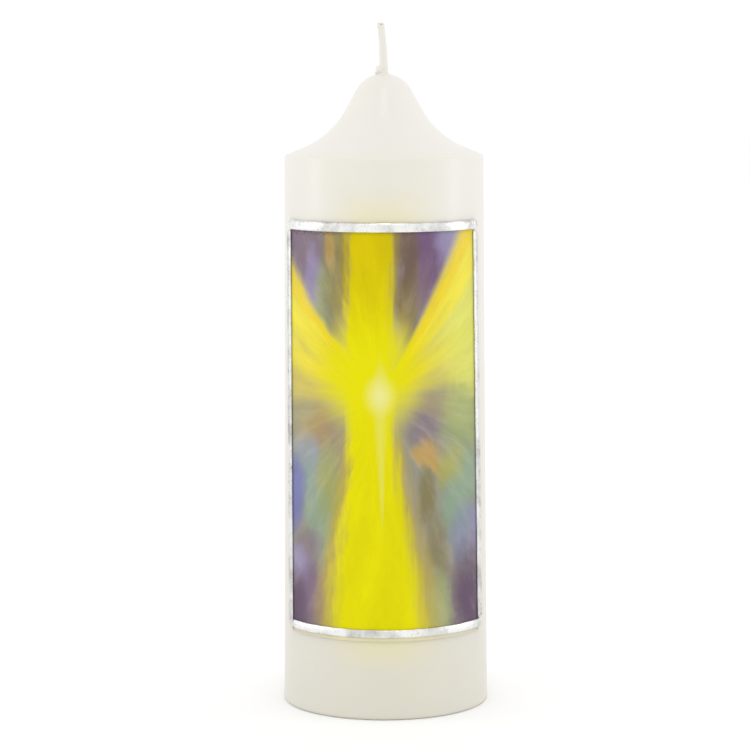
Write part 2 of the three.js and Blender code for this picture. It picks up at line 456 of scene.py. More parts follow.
@dataclass(frozen=True)
class Tinplate(Finish):
    """Bright pressed tin, drawn in fine scratches and dulled in spots by the wax."""

    metal: Colour = srgb(196, 198, 200)
    dull: Colour = srgb(150, 148, 142)

    def even(self) -> dict[str, Input]:
        """Bare metal."""
        return {"Metallic": 1.0}

    def painted(self, graph: Graph) -> dict[str, Input]:
        """Dull spots, and scratches in one direction."""
        place = self.place(graph)
        spots = graph.noise(place, 420.0, 4.0, 0.6).ramped(0.5, 0.75)
        scratches = graph.noise(place * (1.0, 0.04, 1.0), 6000.0, 2.0)
        return {
            "Base Color": graph.mixed(spots, self.metal, self.dull),
            "Roughness": spots * 0.25 + scratches * 0.15 + 0.22,
            "Normal": self.bumped(graph, scratches, 0.01 * MM, 0.5),
        }


@dataclass(frozen=True)
class RolledWax(Finish):
    """The thin backing sheet: white wax rolled smooth, with the roller's faint grain."""

    white: Colour = srgb(240, 238, 229)
    cream: Colour = srgb(229, 225, 211)

    def even(self) -> dict[str, Input]:
        """A soft gloss."""
        return {"Specular IOR Level": 0.4, "IOR": 1.44}

    def painted(self, graph: Graph) -> dict[str, Input]:
        """A level white with the grain upwards."""
        place = self.place(graph)
        grain = graph.noise(place * (1.0, 1.0, 0.1), 900.0, 3.0)
        return {
            "Base Color": graph.mixed(grain.ramped(0.35, 0.7), self.cream, self.white),
            "Roughness": grain * 0.15 + 0.4,
            "Normal": self.bumped(graph, grain, 0.02 * MM),
        }


@dataclass(frozen=True)
class Foil(Finish):
    """Silver leaf on soft wax: bright, with fine creases, painted shade in broken lines along them, and
    duller rubbed places.
    """

    bright: Colour = srgb(238, 238, 237)
    rubbed: Colour = srgb(196, 195, 192)
    # The colour of the painted shade along the creases.
    crease_shade: Colour = srgb(150, 149, 147)
    roughness: float = 0.21

    def even(self) -> dict[str, Input]:
        """Metal all over."""
        return {"Metallic": 1.0}

    def painted(self, graph: Graph) -> dict[str, Input]:
        """Creases where the leaf has folded, painted shade along the crease lines, and rubbed places."""
        place = self.place(graph)
        drift = (graph.noise(place, 420.0, 2.0).output("Color") - 0.5) * 0.9 * MM
        cells = graph.add(
            "ShaderNodeTexVoronoi",
            {"Vector": place + drift, "Scale": 780.0},
            feature="DISTANCE_TO_EDGE",
        )
        creases = cells.ramped(0.0, 0.16)
        worn = graph.noise(place, 120.0, 4.0, 0.55)
        fine = graph.noise(place, 2600.0, 2.0)
        height = creases * 0.5 + worn * 0.9 + fine * 0.25
        colour = graph.mixed(worn.ramped(0.42, 0.72), self.bright, self.rubbed)
        # Painted shade: broken dark lines along the creases.
        broken = graph.noise(place, 330.0, 3.0, 0.6).ramped(0.46, 0.62)
        colour = graph.mixed(cells.ramped(0.08, 0.01) * broken * 0.5, colour, self.crease_shade)
        return {
            "Base Color": colour,
            "Roughness": worn * 0.18 + self.roughness,
            "Normal": self.bumped(graph, height, 0.07 * MM, 0.75),
        }


@dataclass(frozen=True)
class Wash:
    """A soft patch of paint.

    x is from the candle's middle line, to the right, and up is a share of the picture's height. wide and tall
    are how far the patch reaches, in the same units.
    """

    x: float
    up: float
    wide: float
    tall: float
    colour: Colour
    strength: float = 1.0


@dataclass(frozen=True)
class Ray:
    """A ray of light from the burst's middle, its turn from straight up and to the right in degrees."""

    turn: float
    spread: float
    strength: float
    reach: float
    colour: Colour


def washes() -> list[Wash]:
    """The painted ground, from the first patch laid to the last."""
    violet = srgb(122, 100, 126)
    deep_violet = srgb(112, 88, 118)
    mauve = srgb(130, 114, 126)
    lilac = srgb(150, 140, 176)
    blue = srgb(118, 120, 168)
    pale_blue = srgb(148, 158, 166)
    slate = srgb(130, 136, 156)
    teal = srgb(136, 158, 136)
    sage = srgb(150, 160, 114)
    moss = srgb(158, 162, 92)
    olive = srgb(126, 118, 80)
    stone = srgb(156, 150, 122)
    umber = srgb(108, 90, 76)
    plum = srgb(100, 82, 102)
    lime = srgb(204, 206, 106)
    amber = srgb(196, 156, 70)
    rust = srgb(168, 140, 98)
    return [
        Wash(-37, 0.98, 14, 0.14, plum),
        Wash(-29, 0.93, 12, 0.16, mauve),
        Wash(-27, 0.86, 5, 0.11, lilac, 0.7),
        Wash(-22, 0.82, 5, 0.12, sage, 0.7),
        Wash(-17, 0.92, 7, 0.24, olive, 0.8),
        Wash(-19, 0.96, 3, 0.10, amber, 0.5),
        Wash(15, 0.94, 14, 0.22, deep_violet),
        Wash(8, 0.90, 5, 0.26, umber, 0.9),
        Wash(26, 0.98, 10, 0.12, lilac, 0.8),
        Wash(36, 0.95, 8, 0.14, mauve, 0.7),
        Wash(33, 0.72, 16, 0.24, lime, 0.9),
        Wash(-34, 0.57, 16, 0.12, stone),
        Wash(-22, 0.52, 8, 0.08, rust, 0.7),
        Wash(-30, 0.49, 7, 0.05, amber, 0.35),
        Wash(14, 0.54, 9, 0.08, violet, 0.55),
        Wash(30, 0.53, 14, 0.12, sage, 0.9),
        Wash(14, 0.46, 7, 0.05, amber, 0.7),
        Wash(20, 0.43, 6, 0.035, amber, 0.6),
        Wash(25, 0.42, 9, 0.07, moss, 0.8),
        Wash(34, 0.40, 9, 0.09, teal, 0.8),
        Wash(-30, 0.43, 12, 0.10, pale_blue, 0.8),
        Wash(-20, 0.36, 7, 0.16, moss, 0.8),
        Wash(-28, 0.36, 7, 0.10, teal, 0.6),
        Wash(-37, 0.35, 9, 0.12, blue),
        Wash(-24, 0.28, 7, 0.12, teal, 0.6),
        Wash(14, 0.36, 5, 0.09, olive, 0.9),
        Wash(26, 0.33, 9, 0.09, teal, 0.9),
        Wash(31, 0.25, 11, 0.10, slate, 0.9),
        Wash(37, 0.25, 6, 0.10, lilac, 0.5),
        Wash(18, 0.22, 6, 0.14, olive, 0.7),
        Wash(-30, 0.22, 9, 0.06, mauve, 0.7),
        Wash(-35, 0.17, 9, 0.08, lilac, 0.8),
        Wash(-28, 0.09, 9, 0.12, violet, 0.9),
        Wash(-37, 0.05, 9, 0.13, plum),
        Wash(33, 0.08, 15, 0.20, plum),
        Wash(18, 0.06, 6, 0.14, sage, 0.8),
    ]


@dataclass(frozen=True)
class Painting(Finish):
    """The print: a plain burst of light in yellows over violet, blue and green washes, in soft strokes.

    width, height and middle are in metres. The other sizes are in millimetres, and a name that ends in up is
    a share of the picture's height.
    """

    width: float
    height: float
    middle: float
    ground: Colour = srgb(146, 142, 126)
    pale: Colour = srgb(192, 188, 176)
    gold: Colour = srgb(226, 208, 14)
    rim: Colour = srgb(192, 168, 10)
    rim_head: Colour = srgb(162, 142, 18)
    beam: Colour = srgb(219, 211, 0)
    beam_head: Colour = srgb(206, 187, 0)
    lemon: Colour = srgb(224, 218, 4)
    core: Colour = srgb(220, 218, 100)
    heart: Colour = srgb(232, 228, 158)
    margin: Colour = srgb(220, 214, 192)
    margin_height: float = 1.3
    edge_shade: float = 0.14
    side_shade: float = 2.4
    head_shade: float = 2.2
    burst_x: float = -1.5
    burst_up: float = 0.6
    bloom_up: float = 0.655
    beam_x: float = -4.8
    beam_half: float = 8.8
    beam_flare: float = 10.2

    def even(self) -> dict[str, Input]:
        """A matt print with almost no gloss."""
        return {"Specular IOR Level": 0.08}

    def painted(self, graph: Graph) -> dict[str, Input]:
        """The painting from the ground up, then its strokes and the print's grain."""
        uv = graph.add("ShaderNodeUVMap", uv_map="UVMap")
        u, v, _ = graph.split(uv)
        tall = self.height / MM
        flat = graph.vector((u - 0.5) * (self.width / MM) + self.middle / MM, v * tall, 0.0)
        drift = (graph.noise(flat, 0.07, 3.0, 0.55).output("Color") - 0.5) * (9.0, 14.0, 0.0)
        ruffle = (graph.noise(flat * (1.0, 0.3, 1.0), 0.55, 3.0, 0.6).output("Color") - 0.5) * (2.6, 5.0, 0.0)
        moved = flat + drift + ruffle
        x, y, _ = graph.split(moved)
        up = y / tall
        colour = self.laid(graph, x, up)
        away = flat + drift * 0.35 - (self.burst_x, self.burst_up * tall, 0.0)
        reach = graph.measured("LENGTH", away)
        heading = graph.add("ShaderNodeVectorMath", {0: away}, operation="NORMALIZE")
        streaks = graph.noise(heading * 7.0 + graph.vector(0.0, 0.0, reach * 0.035), 1.0, 5.0, 0.62)
        dabs = graph.noise(heading * 9.0 + graph.vector(0.0, 0.0, reach * 0.07), 1.0, 6.0, 0.6)
        strokes = (streaks * 0.8 + dabs * 0.5 - 0.65) * reach.ramped(5.0, 30.0) + 0.5
        colour = graph.mixed(dabs.ramped(0.45, 0.8) * 0.2, colour, self.pale)
        for ray in self.rays():
            colour = self.lit(graph, colour, heading, reach, strokes, ray)
        colour = self.with_beam(graph, colour, flat, up, strokes, tall)
        margin = (v * tall).ramped(self.margin_height, self.margin_height - 0.3)
        colour = graph.mixed(margin * 0.86, colour, self.margin)
        grain = graph.noise(flat, 2.4, 3.0, 0.7)
        shade = strokes.ramped(0.25, 0.78) * 0.15 + grain * 0.16 + 0.83
        side = abs(u - 0.5) * (self.width / MM) - (self.width / MM / 2 - self.side_shade)
        head = (v - 1.0) * tall + self.head_shade
        shade = shade * (1.0 - self.edge_shade * graph.maths("MAXIMUM", side, head).ramped(0.0, 1.4))
        # Ragged darker marks just under the top strip's lower edge, towards the left.
        dark_marks = graph.noise(flat * (0.5, 1.4, 1.0), 1.3, 4.0, 0.65).ramped(0.5, 0.6)
        ragged = (head + dark_marks * 0.9).ramped(0.4, 1.1) * u.ramped(0.36, 0.2) * dark_marks
        shade = shade * (1.0 - ragged * 0.5)
        paper = graph.noise(flat, 9.0, 3.0)
        return {
            "Base Color": graph.mixed(1.0, colour, graph.vector(shade, shade, shade), "MULTIPLY"),
            "Roughness": paper * 0.1 + 0.5,
            "Normal": self.bumped(graph, paper, 0.012 * MM),
        }

    def rays(self) -> list[Ray]:
        """The fan of rays over the burst's middle."""
        honey = srgb(224, 202, 74)
        straw = srgb(231, 217, 66)
        pear = srgb(214, 214, 102)
        marigold = srgb(230, 198, 32)
        return [
            Ray(-80, 10, 0.6, 75, honey),
            Ray(-65, 9, 0.85, 90, straw),
            Ray(-50, 6.5, 0.95, 110, straw),
            Ray(-44, 2.2, 0.6, 95, marigold),
            Ray(-24, 4, 0.2, 45, straw),
            Ray(20, 4, 0.2, 45, straw),
            Ray(68, 11, 0.6, 85, pear),
            Ray(52, 9, 0.85, 95, pear),
            Ray(37, 5, 0.95, 125, straw),
            Ray(33, 2, 0.6, 115, marigold),
            Ray(98, 10, 0.2, 40, pear),
            Ray(-100, 10, 0.2, 40, honey),
        ]

    def laid(self, graph: Graph, x: Term, up: Term) -> Term:
        """The washes over the ground.

        Args:
            graph: The material's graph.
            x: Millimetres from the candle's middle line.
            up: The share of the picture's height.

        Returns:
            The colour.
        """
        colour: Input = self.ground
        for wash in washes():
            across = (x - wash.x) / wash.wide
            along = (up - wash.up) / wash.tall
            shape = (across * across + along * along).ramped(1.0, 0.0)
            colour = graph.mixed(shape * wash.strength, colour, wash.colour)
        return colour

    def lit(self, graph: Graph, colour: Term, heading: Term, reach: Term, strokes: Term, ray: Ray) -> Term:
        """One ray over the washes.

        Args:
            graph: The material's graph.
            colour: What is painted so far.
            heading: The direction from the burst's middle.
            reach: Millimetres from the burst's middle.
            strokes: The strokes' noise.
            ray: The ray.

        Returns:
            The colour.
        """
        turn = math.radians(ray.turn)
        aim = (math.sin(turn), math.cos(turn), 0.0)
        facing = graph.measured("DOT_PRODUCT", heading, aim)
        shape = facing.ramped(math.cos(math.radians(2 * ray.spread)), math.cos(math.radians(ray.spread / 3)))
        fade = reach.ramped(ray.reach * 1.2, ray.reach * 0.25)
        ragged = (strokes * 1.1 + 0.5).clamped()
        light = graph.mixed(reach.ramped(8, 40), self.gold, ray.colour)
        return graph.mixed(shape * fade * ragged * ray.strength, colour, light)

    def with_beam(self, graph: Graph, colour: Term, flat: Term, up: Term, strokes: Term, tall: float) -> Term:
        """The upright beam, flared at its head and foot, and the pale light in its middle.

        Args:
            graph: The material's graph.
            colour: What is painted so far.
            flat: The point on the picture in millimetres.
            up: The share of the picture's height, moved by the strokes.
            strokes: The strokes' noise.
            tall: The picture's height in millimetres.

        Returns:
            The colour.
        """
        x, y, _ = graph.split(flat)
        fibres = graph.noise(flat * (1.0, 0.12, 1.0), 0.5, 3.0)
        frayed = x + (strokes - 0.5) * 7.0 + (fibres - 0.5) * 5.0
        foot = up.ramped(0.5, -0.05)
        half = foot * self.beam_flare + self.beam_half
        aside = abs(frayed - foot - self.beam_x) / half
        halo = aside.ramped(1.5, 0.9)
        solid = aside.ramped(1.12, 0.62)
        burst = graph.vector((x - self.burst_x) / 20.0, (y - self.burst_up * tall) / 25.0, 0.0)
        bloom = graph.vector((x - self.beam_x) / 20.0, (y - self.bloom_up * tall) / 22.0, 0.0)
        glow = graph.measured("LENGTH", bloom)
        near = graph.measured("LENGTH", burst)
        yellow = graph.mixed(up.ramped(0.62, 0.98), self.beam, self.beam_head)
        yellow = graph.mixed(glow.ramped(1.2, 0.1) * 0.8, yellow, self.lemon)
        ragged = (strokes * 0.7 + 0.6).clamped()
        colour = graph.mixed(glow.ramped(1.15, 0.5) * ragged * 0.9, colour, yellow)
        rim = graph.mixed(up.ramped(0.7, 0.85), self.rim, self.rim_head)
        colour = graph.mixed(halo * 0.62 * glow.ramped(0.75, 1.35), colour, rim)
        colour = graph.mixed(solid, colour, yellow)
        slim = up.ramped(0.26, 0.6) * up.ramped(0.7, 0.64) * 1.7 + 0.35
        spindle = (abs(x - self.burst_x) / slim).ramped(1.6, 0.2)
        ends = up.ramped(0.24, 0.38) * up.ramped(0.72, 0.64)
        colour = graph.mixed(spindle * ends * 0.55, colour, self.core)
        return graph.mixed(near.ramped(0.34, 0.0) * 0.7, colour, self.heart)


@dataclass(frozen=True)
class Paper(Finish):
    """The plain white sheet that the candle stands on."""

    white: Colour = (0.965, 0.965, 0.965)
    shade: Colour = (0.958, 0.958, 0.958)

    def even(self) -> dict[str, Input]:
        """No gloss."""
        return {"Specular IOR Level": 0.0, "Roughness": 0.9}

    def painted(self, graph: Graph) -> dict[str, Input]:
        """The paper's faint mottle."""
        mottle = graph.noise(self.place(graph), 30.0, 3.0)
        return {"Base Color": graph.mixed(mottle, self.white, self.shade)}


# ---------------------------------------------------------------------------------------------- shape trees


class Size(Enum):
    """The kinds of named input that a shape tree has."""

    NUMBER = "NodeSocketFloat"
    COUNT = "NodeSocketInt"
    PLACE = "NodeSocketVector"
    FINISH = "NodeSocketMaterial"


class ShapeTree(Graph):
    """A Geometry Nodes tree with a mesh and named sizes in, and a finished mesh out."""

    sizes: dict[str, Size] = {}

    def __init__(self, name: str) -> None:
        """Makes the tree's inputs, builds it, and ends it in real geometry with a material."""
        super().__init__(bpy.data.node_groups.new(name, "GeometryNodeTree"))
        face = self.tree.interface
        face.new_socket(name="Geometry", in_out="INPUT", socket_type="NodeSocketGeometry")
        self.keys = {
            label: face.new_socket(name=label, in_out="INPUT", socket_type=kind.value).identifier
            for label, kind in {**self.sizes, "Finish": Size.FINISH}.items()
        }
        face.new_socket(name="Geometry", in_out="OUTPUT", socket_type="NodeSocketGeometry")
        self.given = self.tree.nodes.new("NodeGroupInput")
        whole = self.add("GeometryNodeRealizeInstances", {"Geometry": self.build(self.size("Geometry"))})
        dressed = self.add("GeometryNodeSetMaterial", {"Geometry": whole, "Material": self.size("Finish")})
        self.feed(self.tree.nodes.new("NodeGroupOutput").inputs[0], dressed)

    def build(self, geometry: Term) -> Term:
        """The geometry that the tree makes of the mesh it is given."""
        raise NotImplementedError

    def size(self, label: str) -> Term:
        """One of the tree's inputs."""
        return Term(self, find_socket(self.given.outputs, label))

    def stored(self, name: str) -> Term:
        """A number stored on the mesh's points under a name."""
        kind = "GeometryNodeInputNamedAttribute"
        return self.add(kind, {"Name": name}, output="Attribute", data_type="FLOAT")

    def position(self) -> Term:
        """Where each point is."""
        return self.add("GeometryNodeInputPosition")

    def moved(self, geometry: Term, **places: Input) -> Term:
        """The geometry with its points at a new Position, or moved by an Offset."""
        return self.add("GeometryNodeSetPosition", {"Geometry": geometry, **places})

    def make(self, name: str, source: bpy.types.Mesh, values: dict[str, Input]) -> bpy.types.Object:
        """Runs the tree on a mesh.

        Args:
            name: The finished piece's name.
            source: The mesh that the tree starts from.
            values: The tree's inputs by their labels.

        Returns:
            The piece as a plain mesh, with no modifier.
        """
        piece = bpy.data.objects.new(name, source)
        bpy.context.scene.collection.objects.link(piece)
        modifier = piece.modifiers.new(self.tree.name, "NODES")
        modifier.node_group = self.tree
        for label, value in values.items():
            modifier[self.keys[label]] = value
        evaluated = piece.evaluated_get(bpy.context.evaluated_depsgraph_get())
        finished = bpy.data.meshes.new_from_object(evaluated)
        piece.modifiers.remove(modifier)
        piece.data = finished
        finished.name = name
        bpy.data.meshes.remove(source)
        return piece


LEAN_SIZES = {"Lean": Size.NUMBER, "Lean From": Size.NUMBER, "Lean To": Size.NUMBER}


class TurnedShape(ShapeTree):
    """Turns a closed outline round the candle's axis and makes its skin as uneven as dipped wax.

    The outline's points carry "skin", which is 1 where the unevenness shows and 0 where it doesn't. A piece
    with no knob, ripple or lean takes the plain inputs, because the tree divides by them.
    """

    sizes = {
        "Sides": Size.COUNT,
        "Axle": Size.NUMBER,
        "Unevenness": Size.NUMBER,
        "Grain": Size.NUMBER,
        "Still Below": Size.NUMBER,
        "Ripple": Size.NUMBER,
        "Ripple Count": Size.NUMBER,
        "Ripple Pitch": Size.NUMBER,
        "Knob Rise": Size.NUMBER,
        "Knob Place": Size.PLACE,
        "Knob Reach": Size.NUMBER,
        **LEAN_SIZES,
    }
    plain = {"Knob Reach": 1.0, "Ripple Pitch": 1.0, "Lean To": 1.0}

    def build(self, geometry: Term) -> Term:
        """Sweeps the outline round a circle, then moves its skin in by noise and out at the knob."""
        outline = self.add("GeometryNodeMeshToCurve", {"Mesh": geometry})
        rings = {"Resolution": self.size("Sides"), "Radius": self.size("Axle")}
        circle = self.add("GeometryNodeCurvePrimitiveCircle", rings)
        swept = self.add("GeometryNodeCurveToMesh", {"Curve": circle, "Profile Curve": outline})
        smooth = self.add("GeometryNodeSetShadeSmooth", {"Geometry": swept})
        place = self.position()
        x, y, z = self.split(place)
        radial = self.add("ShaderNodeVectorMath", {0: self.vector(x, y, 0.0)}, operation="NORMALIZE")
        normal = self.add("GeometryNodeInputNormal")
        skin = self.stored("skin")
        runs = self.noise(place * (1.0, 1.0, 0.3), self.size("Grain"), 2.0)
        above = (z - self.size("Still Below")).ramped(0.0, 5 * MM)
        dip = normal * ((runs - 1.0) * self.size("Unevenness") * skin * above)
        around = self.maths("ARCTAN2", y, x) * self.size("Ripple Count")
        climb = z * (2 * math.pi) / self.size("Ripple Pitch")
        weave = self.maths("COSINE", around - climb) * self.maths("COSINE", around + climb)
        ripple = radial * (weave * self.size("Ripple") * skin)
        off = self.measured("DISTANCE", place, self.size("Knob Place"))
        share = (1.0 - off / self.size("Knob Reach")).ramped(0.0, 0.6)
        knob = radial * (share * self.size("Knob Rise") * skin)
        shaped = self.moved(smooth, Offset=dip + ripple + knob)
        return self.moved(shaped, Offset=leant(self))


def leant(tree: ShapeTree) -> Term:
    """How far the wick's bend moves a point sideways.

    Args:
        tree: The tree that the nodes are added to. It has the inputs of LEAN_SIZES.

    Returns:
        The offset along X, from nothing where the bend starts to the whole lean at the tip.
    """
    _, _, z = tree.split(tree.position())
    start = tree.size("Lean From")
    along = ((z - start) / (tree.size("Lean To") - start)).clamped(0.0, 2.0)
    return tree.vector(along * along * tree.size("Lean"), 0.0, 0.0)


class BraidedShape(ShapeTree):
    """A round braid along a line: half of its strands wind one way and half the other, over and under."""

    sizes = {
        "Strands Each Way": Size.COUNT,
        "Pitch": Size.NUMBER,
        "Middle Radius": Size.NUMBER,
        "Weave": Size.NUMBER,
        "Strand Radius": Size.NUMBER,
        "Strand Sides": Size.COUNT,
        **LEAN_SIZES,
    }

    def build(self, geometry: Term) -> Term:
        """Copies the line once for each strand, winds the copies, and gives them their thickness."""
        line = self.add("GeometryNodeMeshToCurve", {"Mesh": geometry})
        each_way = self.size("Strands Each Way")
        copies = self.add(
            "GeometryNodeDuplicateElements", {"Geometry": line, "Amount": each_way * 2}, domain="SPLINE"
        )
        number = copies.output("Duplicate Index")
        back = self.maths("GREATER_THAN", number, each_way - 0.5)
        way = 1.0 - back * 2.0
        start = (number - back * each_way) * (2 * math.pi) / each_way
        _, _, z = self.split(self.position())
        turn = z * (2 * math.pi) / self.size("Pitch")
        angle = turn * way + start
        crossings = self.maths("COSINE", turn * each_way)
        radius = self.size("Middle Radius") + crossings * way * self.size("Weave")
        place = self.vector(radius * self.maths("COSINE", angle), radius * self.maths("SINE", angle), z)
        wound = self.moved(copies, Position=place)
        bent = self.moved(wound, Offset=leant(self))
        yarn = {"Resolution": self.size("Strand Sides"), "Radius": self.size("Strand Radius")}
        section = self.add("GeometryNodeCurvePrimitiveCircle", yarn)
        thick = {"Curve": bent, "Profile Curve": section, "Fill Caps": True}
        solid = self.add("GeometryNodeCurveToMesh", thick)
        return self.add("GeometryNodeSetShadeSmooth", {"Geometry": solid})


WRAP_SIZES = {
    "Base Radius": Size.NUMBER,
    "Draft": Size.NUMBER,
    "Lean": Size.NUMBER,
    "Lean About": Size.NUMBER,
}


def wrapped(tree: ShapeTree, along: Term, height: Term, rise: Term) -> Term:
    """Lays a flat point on the candle's wall.

    Args:
        tree: The tree that the nodes are added to. It has the inputs of WRAP_SIZES.
        along: How far round the candle the point is, from -Y towards +X.
        height: The point's height.
        rise: How far it stands over the wall.

    Returns:
        The point on the candle.
    """
    radius = tree.size("Base Radius") - height * tree.size("Draft") + rise
    turn = along / tree.size("Base Radius") + (height - tree.size("Lean About")) * tree.size("Lean")
    return tree.vector(radius * tree.maths("SINE", turn), radius * tree.maths("COSINE", turn) * -1.0, height)


class WrappedSheet(ShapeTree):
    """Bends a flat sheet round the candle and makes it a little uneven. Its Z is its rise over the wall."""

    sizes = {**WRAP_SIZES, "Unevenness": Size.NUMBER, "Grain": Size.NUMBER}

    def build(self, geometry: Term) -> Term:
        """Moves each point of the flat sheet on to the wall."""
        along, height, rise = self.split(self.position())
        uneven = (self.noise(self.vector(along, height, 0.0), self.size("Grain"), 2.0) - 0.5) * 2.0
        place = wrapped(self, along, height, rise + uneven * self.size("Unevenness"))
        return self.moved(geometry, Position=place)


class DrapedStrip(ShapeTree):
    """Lays a flat strip on the candle and over the print's edges, wavy and creased, with crumbs at its ends.

    The strip's points carry "swell", which is 1 on its face and 0 on its underside, "reach", which is the way
    to its nearer end, and "aside", which runs from -1 to 1 across it.
    """

    sizes = {
        **WRAP_SIZES,
        "Picture Low Corner": Size.PLACE,
        "Picture High Corner": Size.PLACE,
        "Under On Print": Size.NUMBER,
        "Under On Wall": Size.NUMBER,
        "Face": Size.NUMBER,
        "Slack": Size.NUMBER,
        "Run": Size.NUMBER,
        "Across": Size.PLACE,
        "Wander": Size.NUMBER,
        "Crease": Size.NUMBER,
        "Crumple": Size.NUMBER,
        "Crumpled End": Size.NUMBER,
        "Crumbs": Size.NUMBER,
        "Crumb Radius": Size.NUMBER,
        "Seed": Size.COUNT,
    }

    def build(self, geometry: Term) -> Term:
        """Shapes the face and the underside, wraps the strip and scatters its crumbs."""
        place = self.position()
        seed = self.size("Seed") * 0.037
        slow = self.noise(place + seed, 150.0, 2.0).output("Color") - 0.5
        sway, swelling, ridge = self.split(slow)
        across = self.size("Across")
        aside = self.stored("aside")
        shift = sway * self.size("Wander") * 2.0 + aside * swelling * self.size("Wander") * 2.0
        swayed = place + across * shift
        along, height, layer = self.split(swayed)
        under = self.underside(along, height)
        swell = self.stored("swell")
        reach = self.stored("reach")
        loose = reach.ramped(self.size("Crumpled End"), 0.0)
        face = self.size("Face") + layer
        line = (abs(aside - ridge * 1.6) * 4.0).ramped(1.0, 0.0)
        folds = self.noise(place + seed * 3.0, 900.0, 3.0, 0.6) - 0.5
        creases = abs(self.noise(place - seed, 420.0, 2.0) - 0.5) * 2.0
        relief = line * self.size("Crease") - creases * self.size("Crease") + folds * self.size("Crumple") * (
            loose * 3.0 + 0.35
        )
        rise = under + (face - under + relief) * swell
        laid = self.moved(geometry, Position=wrapped(self, along, height, rise))
        smooth = self.add("GeometryNodeSetShadeSmooth", {"Geometry": laid})
        return self.crumbs(smooth, swell, loose)

    def underside(self, along: Term, height: Term) -> Term:
        """How high the strip's underside lies: on the print, and down on the wall past its edge.

        Args:
            along: How far round the candle the point is.
            height: The point's height.

        Returns:
            The rise over the wall.
        """
        left, low, _ = self.split(self.size("Picture Low Corner"))
        right, high, _ = self.split(self.size("Picture High Corner"))
        sideways = self.maths("MAXIMUM", left - along, along - right)
        upright = self.maths("MAXIMUM", low - height, height - high)
        past = self.maths("MAXIMUM", sideways, upright)
        down = ((past - self.size("Slack")) / self.size("Run")).ramped(0.0, 1.0)
        return self.size("Under On Print") + (self.size("Under On Wall") - self.size("Under On Print")) * down

    def crumbs(self, strip: Term, swell: Term, loose: Term) -> Term:
        """The strip with crumbs of foil on its loose ends.

        Args:
            strip: The strip.
            swell: 1 on the strip's face.
            loose: 1 at its ends.

        Returns:
            Both together.
        """
        density = self.size("Crumbs") * (loose * loose + 0.012) * swell.ramped(0.6, 0.9)
        seed = self.size("Seed")
        strewn = {"Mesh": strip, "Density": density, "Seed": seed}
        points = self.add("GeometryNodeDistributePointsOnFaces", strewn)
        ball = {"Radius": self.size("Crumb Radius"), "Subdivisions": 1}
        flake = self.add("GeometryNodeMeshIcoSphere", ball)
        spread = self.add(
            "FunctionNodeRandomValue",
            {"Min": (0.4, 0.4, 0.15), "Max": (1.3, 1.0, 0.4), "Seed": seed},
            data_type="FLOAT_VECTOR",
        )
        scattered = self.add(
            "GeometryNodeInstanceOnPoints",
            {"Points": points, "Instance": flake, "Rotation": points.output("Rotation"), "Scale": spread},
        )
        both = self.add("GeometryNodeJoinGeometry", {"Geometry": strip})
        self.tree.links.new(scattered.socket, both.socket.node.inputs[0])
        return both


# --------------------------------------------------------------------------------------------------- shapes


def arc(centre: Point, radius: float, start: float, end: float, steps: int) -> list[Point]:
    """Points of an arc.

    Args:
        centre: The arc's centre, as a radius and a height.
        radius: The arc's own radius.
        start: The first point's angle, from the r axis towards +Z.
        end: The last point's angle.
        steps: How many steps it takes.

    Returns:
        The points, both ends included.
    """
    angles = (start + (end - start) * step / steps for step in range(steps + 1))
    return [(centre[0] + radius * math.cos(a), centre[1] + radius * math.sin(a)) for a in angles]


def evenly(points: Sequence[Point], step: float) -> list[Point]:
    """The same line with its long stretches cut into steps.

    Args:
        points: The line.
        step: The longest step that stays.

    Returns:
        The line's points.
    """
    line = [points[0]]
    for (r0, z0), (r1, z1) in zip(points, points[1:]):
        count = max(1, math.ceil(math.hypot(r1 - r0, z1 - z0) / step))
        line += [(r0 + (r1 - r0) * i / count, z0 + (z1 - z0) * i / count) for i in range(1, count + 1)]
    return line


def rounded(corner: Point, radius: float, start: float, end: float, steps: int = 8) -> list[Point]:
    """A corner between two straight lines, made round.

    Args:
        corner: Where the lines would meet.
        radius: The round's radius, or 0 for a sharp corner.
        start: The angle of the first line's outward normal.
        end: The angle of the second line's outward normal.
        steps: How many steps the round takes.

    Returns:
        The round's points.
    """
    if radius <= 0:
        return [corner]
    middle = (start + end) / 2
    away = radius / math.cos((start - end) / 2)
    centre = (corner[0] - away * math.cos(middle), corner[1] - away * math.sin(middle))
    return arc(centre, radius, start, end, steps)


def stored_mesh(
    name: str,
    points: Iterable[Sequence[float]],
    edges: list[tuple[int, int]],
    faces: list[Sequence[int]],
    numbers: dict[str, list[float]],
) -> bpy.types.Mesh:
    """A mesh whose points carry named numbers.

    Args:
        name: The mesh's name.
        points: The points.
        edges: Its edges, where it has no faces.
        faces: Its faces.
        numbers: Lists with one number for each point, by name.

    Returns:
        The mesh.
    """
    mesh = bpy.data.meshes.new(name)
    mesh.from_pydata([tuple(p) for p in points], edges, faces)
    for label, values in numbers.items():
        mesh.attributes.new(label, "FLOAT", "POINT").data.foreach_set("value", values)
    return mesh


def settle(piece: bpy.types.Object, slot: str, *nodes: str) -> bpy.types.Object:
    """Puts a finished piece in the frame.

    Args:
        piece: The piece.
        slot: The name of the record's material slot for the piece. It is not used.
        nodes: The CAD nodes that it stands for.

    Returns:
        The piece.
    """
    for label in ("skin", "swell", "reach", "aside"):
        stored = piece.data.attributes.get(label)
        if stored:
            piece.data.attributes.remove(stored)
    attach(piece, BODY)
    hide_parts(*nodes)
    log.info("%s: %d faces, for %s", piece.name, len(piece.data.polygons), ", ".join(nodes))
    return piece


